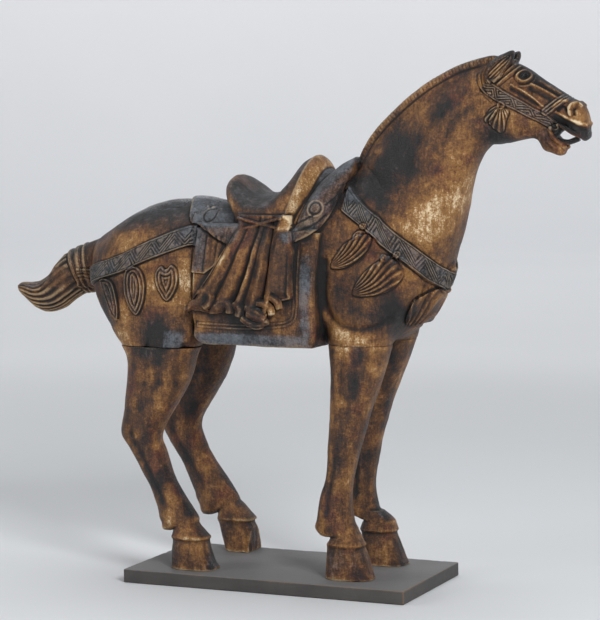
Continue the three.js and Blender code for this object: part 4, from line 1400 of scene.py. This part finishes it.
def plinth_paint():
    """Matt black paint on a board, rubbed brown along its edges and lighter grey on its top face."""
    paint = Paint("plinth_paint")
    drift = paint.noise(12, 5, 0.6)
    grain = paint.noise(60, 5, 0.6, (0.08, 1, 1))
    speck = paint.noise(450, 3, 0.6)
    top = paint.attribute("top")
    worn = paint.between(paint.total((paint.attribute("edge"), 1.0), (drift, 1.2), (speck, 0.9)), 0.45, 1.0)
    base = paint.between(paint.total((drift, 1.0), (grain, 0.5)), -0.3, 0.3)
    colour = paint.blend(base, shade(56, 54, 53), shade(76, 73, 70))
    grey = paint.math("MULTIPLY", paint.between(paint.total((top, 1.0), (drift, 0.8), (grain, 0.3)), 0.1, 1.0), 0.9)
    colour = paint.blend(grey, colour, shade(116, 116, 117))
    colour = paint.blend(paint.math("MULTIPLY", worn, 0.7), colour, shade(118, 90, 64))
    paint.feed(paint.shader.inputs["Base Color"], colour)
    rough = paint.math("ADD", paint.total((drift, 0.2), (speck, 0.25)), 0.6)
    paint.feed(paint.shader.inputs["Roughness"], rough)
    paint.bump(paint.total((grain, 1.0), (speck, 0.6)), 0.4, 0.0007)
    return paint.material


def paper():
    """The backdrop: pale paper, a little darker where it lies as the floor, glowing softly far from the object."""
    paint = Paint("backdrop_paper")
    split = paint.tree.nodes.new("ShaderNodeSeparateXYZ")
    paint.feed(split.inputs[0], paint.place)
    x, y, z = (split.outputs[axis] for axis in "XYZ")
    low = paint.between(paint.total((z, 1.0), (paint.noise(1.5, 3, 0.5), 0.5)), -0.2, 1.2)
    paint.feed(paint.shader.inputs["Base Color"], paint.blend(low, shade(213, 216, 219), shade(230, 230, 232)))
    paint.shader.inputs["Roughness"].default_value = 0.9
    far = paint.between(paint.total((x, x), (y, y)), 0.4, 9.0)
    paint.feed(paint.shader.inputs["Emission Strength"], paint.math("MULTIPLY", far, 0.24))
    paint.shader.inputs["Emission Color"].default_value = (0.94, 0.95, 0.98, 1)
    return paint.material


# ------------------------------------------------------------------ making the pieces
def make_body(finish):
    points, triangles = largest_part(*build_body())
    points, triangles = refined(points, triangles, finely_cut(points))
    parts = (straps_relief, leaves_relief, mane_relief, tail_relief, saddle_relief, face_relief, ears_relief,
             muscles_relief)
    points, relief = relief_of(points, triangles, parts)
    body = make_object("horse_carving", points, triangles, MOST_TRIANGLES, marks_of(points, triangles, relief))
    body.data.materials.append(finish)
    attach(body, "root")
    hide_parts("horse_body")
    return body


def make_leg(name, finish):
    points, triangles = largest_part(*build_leg(name))
    points, relief = relief_of(points, triangles, (lambda r: leg_relief(r, name),))
    marks = marks_of(points, triangles, relief)
    leg = make_object(name + "_carving", points, triangles, LEG_TRIANGLES, marks)
    leg.data.materials.append(finish)
    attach(leg, "root")
    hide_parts(name)
    return leg


def make_plinth(finish):
    block = Block(BOARD_LOW - 4, BOARD_HIGH + 4, 1.6)
    middle = (BOARD_LOW + BOARD_HIGH) / 2
    half = (BOARD_HIGH - BOARD_LOW) / 2
    x, y, z = block.axes(block.first, block.last)
    gaps = [np.abs(v - m) - h + 1.2 for v, m, h in zip((x, y, z), middle, half)]
    outside = np.sqrt(sum(np.maximum(g, 0) ** 2 for g in gaps))
    block.far = (outside + np.minimum(np.maximum(np.maximum(gaps[0], gaps[1]), gaps[2]), 0) - 1.2).astype(np.float32)
    points, triangles = block.mesh()
    normals = normals_of(points, triangles)
    corner = np.sort(np.stack([half[k] - np.abs(points[:, k] - middle[k]) for k in range(3)], 1), 1)
    edge = np.exp(-corner[:, 1] / 2.5)
    chips = np.maximum(cloud(points, 7, 5) - 0.25, 0) * edge * 2.2 + edge * 0.4 * (cloud(points, 30, 6) + 1)
    grain = cloud(points * np.array([0.12, 1, 1]), 5, 7) * 0.12
    sunk = np.where(points[:, 2] < BOARD_LOW[2] + 3, 0.3, 1.0)
    points = points - normals * (chips * sunk)[:, None]
    points[:, 2] += np.where(points[:, 2] > BOARD_TOP - 2, grain, 0)
    points = np.clip(points, BOARD_LOW, BOARD_HIGH)
    board = make_object("plinth_board", points, triangles, 90000, {"edge": edge, "top": normals[:, 2]})
    board.data.materials.append(finish)
    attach(board, "root")
    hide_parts("plinth")
    return board


def cloud(points, size, seed):
    """Smooth random values, about -1 to 1, that vary over the given size."""
    lattice = np.random.default_rng(seed).uniform(-1, 1, (48, 48, 48))
    place = points / size
    cell = np.floor(place).astype(int)
    part = place - cell
    part = part * part * (3 - 2 * part)
    whole = np.zeros(len(points))
    for corner in np.ndindex(2, 2, 2):
        weight = np.prod(np.where(corner, part, 1 - part), axis=1)
        x, y, z = ((cell + corner) % 48).T
        whole += weight * lattice[x, y, z]
    return whole


def leg_relief(r, name):
    fore = "fore" in name
    rows = curve(leg_posts(name)[:-2] + FEET[name][2:], 300)
    rows = rows[np.argsort(rows[:, 0])]
    middle_x, half_x, middle_y = (np.interp(r.z, rows[:, 0], rows[:, k]) for k in (1, 2, 3))
    share = (r.x - middle_x) / half_x
    knee = 196 if fore else 222
    shank = ease((r.z - 100) / 20) * (1 - ease((r.z - knee + 20) / 60))
    out = ease((r.outward - 0.2) / 0.6)
    r.height -= 1.5 * shank * out * np.exp(-(((share + 0.26) / 0.2) ** 2))
    r.height += 0.7 * shank * out * np.exp(-(((share + 0.66) / 0.26) ** 2))
    hoof = 1 - ease((r.z - 58) / 6)
    turn = np.arctan2(r.y - middle_y, r.x - middle_x)
    r.height += hoof * 0.35 * np.cos(turn * 9 + 2.5 * np.sin(turn * 2 + 1))
    collar = np.exp(-(((r.z - (69 if fore else 65)) / 2.6) ** 2))
    r.height += 0.6 * collar
    r.crisp *= 1 - 0.8 * collar
    # Muscle lines over the knee or hock.
    lines = ([(118, 366), (108, 320), (104, 250)], [(138, 350), (128, 300), (112, 240)]) if fore else (
        [(-196, 340), (-190, 300), (-200, 250)], [(-160, 340), (-166, 300), (-186, 262)])
    for line in lines:
        r.height -= 1.6 * out * near_line(r.x, r.z, curve(line, 12), 7)
    if not fore:
        r.height -= 1.6 * out * np.exp(-(((r.x + 214) ** 2 + (r.z - 212) ** 2) / 40))
    here = np.stack([r.x, r.y, r.z], 1)
    r.height += 0.9 * cloud(here, 26, 21) + 0.35 * cloud(here, 8, 22)
    # Long bands of gold and of bare dark wood down the leg.
    drift = cloud(here * [1, 1, 0.25], 13, 31 + len(name))
    r.gilt[:] = 0.42 + 0.4 * drift - 0.35 * np.exp(-(((share + 0.26) / 0.3) ** 2)) * shank
    r.gilt -= 0.1 * hoof
    r.blue += 0.2 * hoof + np.clip(-0.3 * drift, 0, 0.3)
    r.gilt += 0.15 * np.exp(-(((r.z - 80) / 9) ** 2))
    # Painted highlights: a bright band across the foreleg just under the shoulder, and bright lines down the upper
    # legs.
    high = ease((r.z - 300) / 40)
    if fore:
        r.gilt += 0.6 * np.exp(-(((r.z - 366) / 16) ** 2)) + 0.5 * np.exp(-(((r.x - 112) / 7) ** 2)) * high
        dark = np.exp(-(((r.x - 137) / 13) ** 2 + ((r.z - 352) / 22) ** 2))
    else:
        r.gilt += 0.5 * np.exp(-(((share - 0.85) / 0.2) ** 2)) * high
        dark = np.exp(-(((r.x + 190) / 24) ** 2 + ((r.z - 340) / 34) ** 2))
    r.gilt -= 0.6 * dark
    r.blue += 0.25 * dark
    r.plain *= 1 - 0.75 * np.exp(-(((r.z - seam_of(name)) / 3) ** 4))


# ------------------------------------------------------------------ studio
def make_stage():
    """A pale round floor that curves up into a low wall, wide enough to stand round a camera on any side."""
    profile = [(0.5, 0.0), (2.0, 0.0), (4.0, 0.0), (6.8, 0.0)]
    profile += [(6.8 + 1.4 * math.sin(a), 1.4 - 1.4 * math.cos(a)) for a in np.linspace(0.08, math.pi / 2, 18)]
    profile += [(8.2, 3.0)]
    around = 72
    verts = [(0.0, 0.0, 0.0)]
    for reach, up in profile:
        for turn in np.linspace(0, 2 * math.pi, around, endpoint=False):
            verts.append((reach * math.cos(turn), reach * math.sin(turn), up))
    faces = [(0, 1 + k, 1 + (k + 1) % around) for k in range(around)]
    for ring in range(len(profile) - 1):
        low, high = 1 + ring * around, 1 + (ring + 1) * around
        for k in range(around):
            after = (k + 1) % around
            faces.append((low + k, high + k, high + after, low + after))
    mesh = bpy.data.meshes.new("backdrop")
    mesh.from_pydata(verts, [], faces)
    mesh.shade_smooth()
    mesh.materials.append(paper())
    obj = bpy.data.objects.new("backdrop", mesh)
    bpy.context.scene.collection.objects.link(obj)


def make_light(name, place, target, size, power, colour=(1, 1, 1)):
    lamp = bpy.data.lights.new(name, "AREA")
    lamp.shape = "RECTANGLE"
    lamp.size, lamp.size_y = size
    lamp.energy = power
    lamp.color = colour
    obj = bpy.data.objects.new(name, lamp)
    obj.location = place
    obj.rotation_euler = (Vector(target) - Vector(place)).to_track_quat("-Z", "Y").to_euler()
    bpy.context.scene.collection.objects.link(obj)


def make_studio():
    world = bpy.data.worlds.new("studio")
    world.use_nodes = True
    world.node_tree.nodes["Background"].inputs["Color"].default_value = (0.93, 0.94, 0.96, 1)
    world.node_tree.nodes["Background"].inputs["Strength"].default_value = 0.19
    bpy.context.scene.world = world
    middle = (0, 0, 0.4)
    make_light("key", (2.3, -2.3, 2.2), middle, (1.1, 1.1), 100)
    make_light("fill", (-2.8, -1.8, 1.7), middle, (1.4, 1.4), 28)
    make_light("top", (-0.3, 0.8, 3.0), middle, (2.4, 2.4), 42)
    make_light("wall", (-1.3, 3.6, 3.3), (-2.9, 7.6, 1.2), (3.0, 0.8), 50)


def make_camera():
    camera = bpy.data.cameras.new("camera")
    camera.lens = 161.4
    camera.sensor_width = 36
    obj = bpy.data.objects.new("camera", camera)
    obj.location = (1.5179, -3.6713, 0.7856)
    obj.rotation_euler = (math.radians(90 - 5.66), 0, math.radians(22.3))
    bpy.context.scene.collection.objects.link(obj)
    bpy.context.scene.camera = obj


lacquer = gilt_lacquer()
make_body(lacquer)
for leg_name in FEET:
    make_leg(leg_name, lacquer)
make_plinth(plinth_paint())
make_stage()
make_studio()
make_camera()
bpy.context.scene.view_settings.view_transform = "Standard"
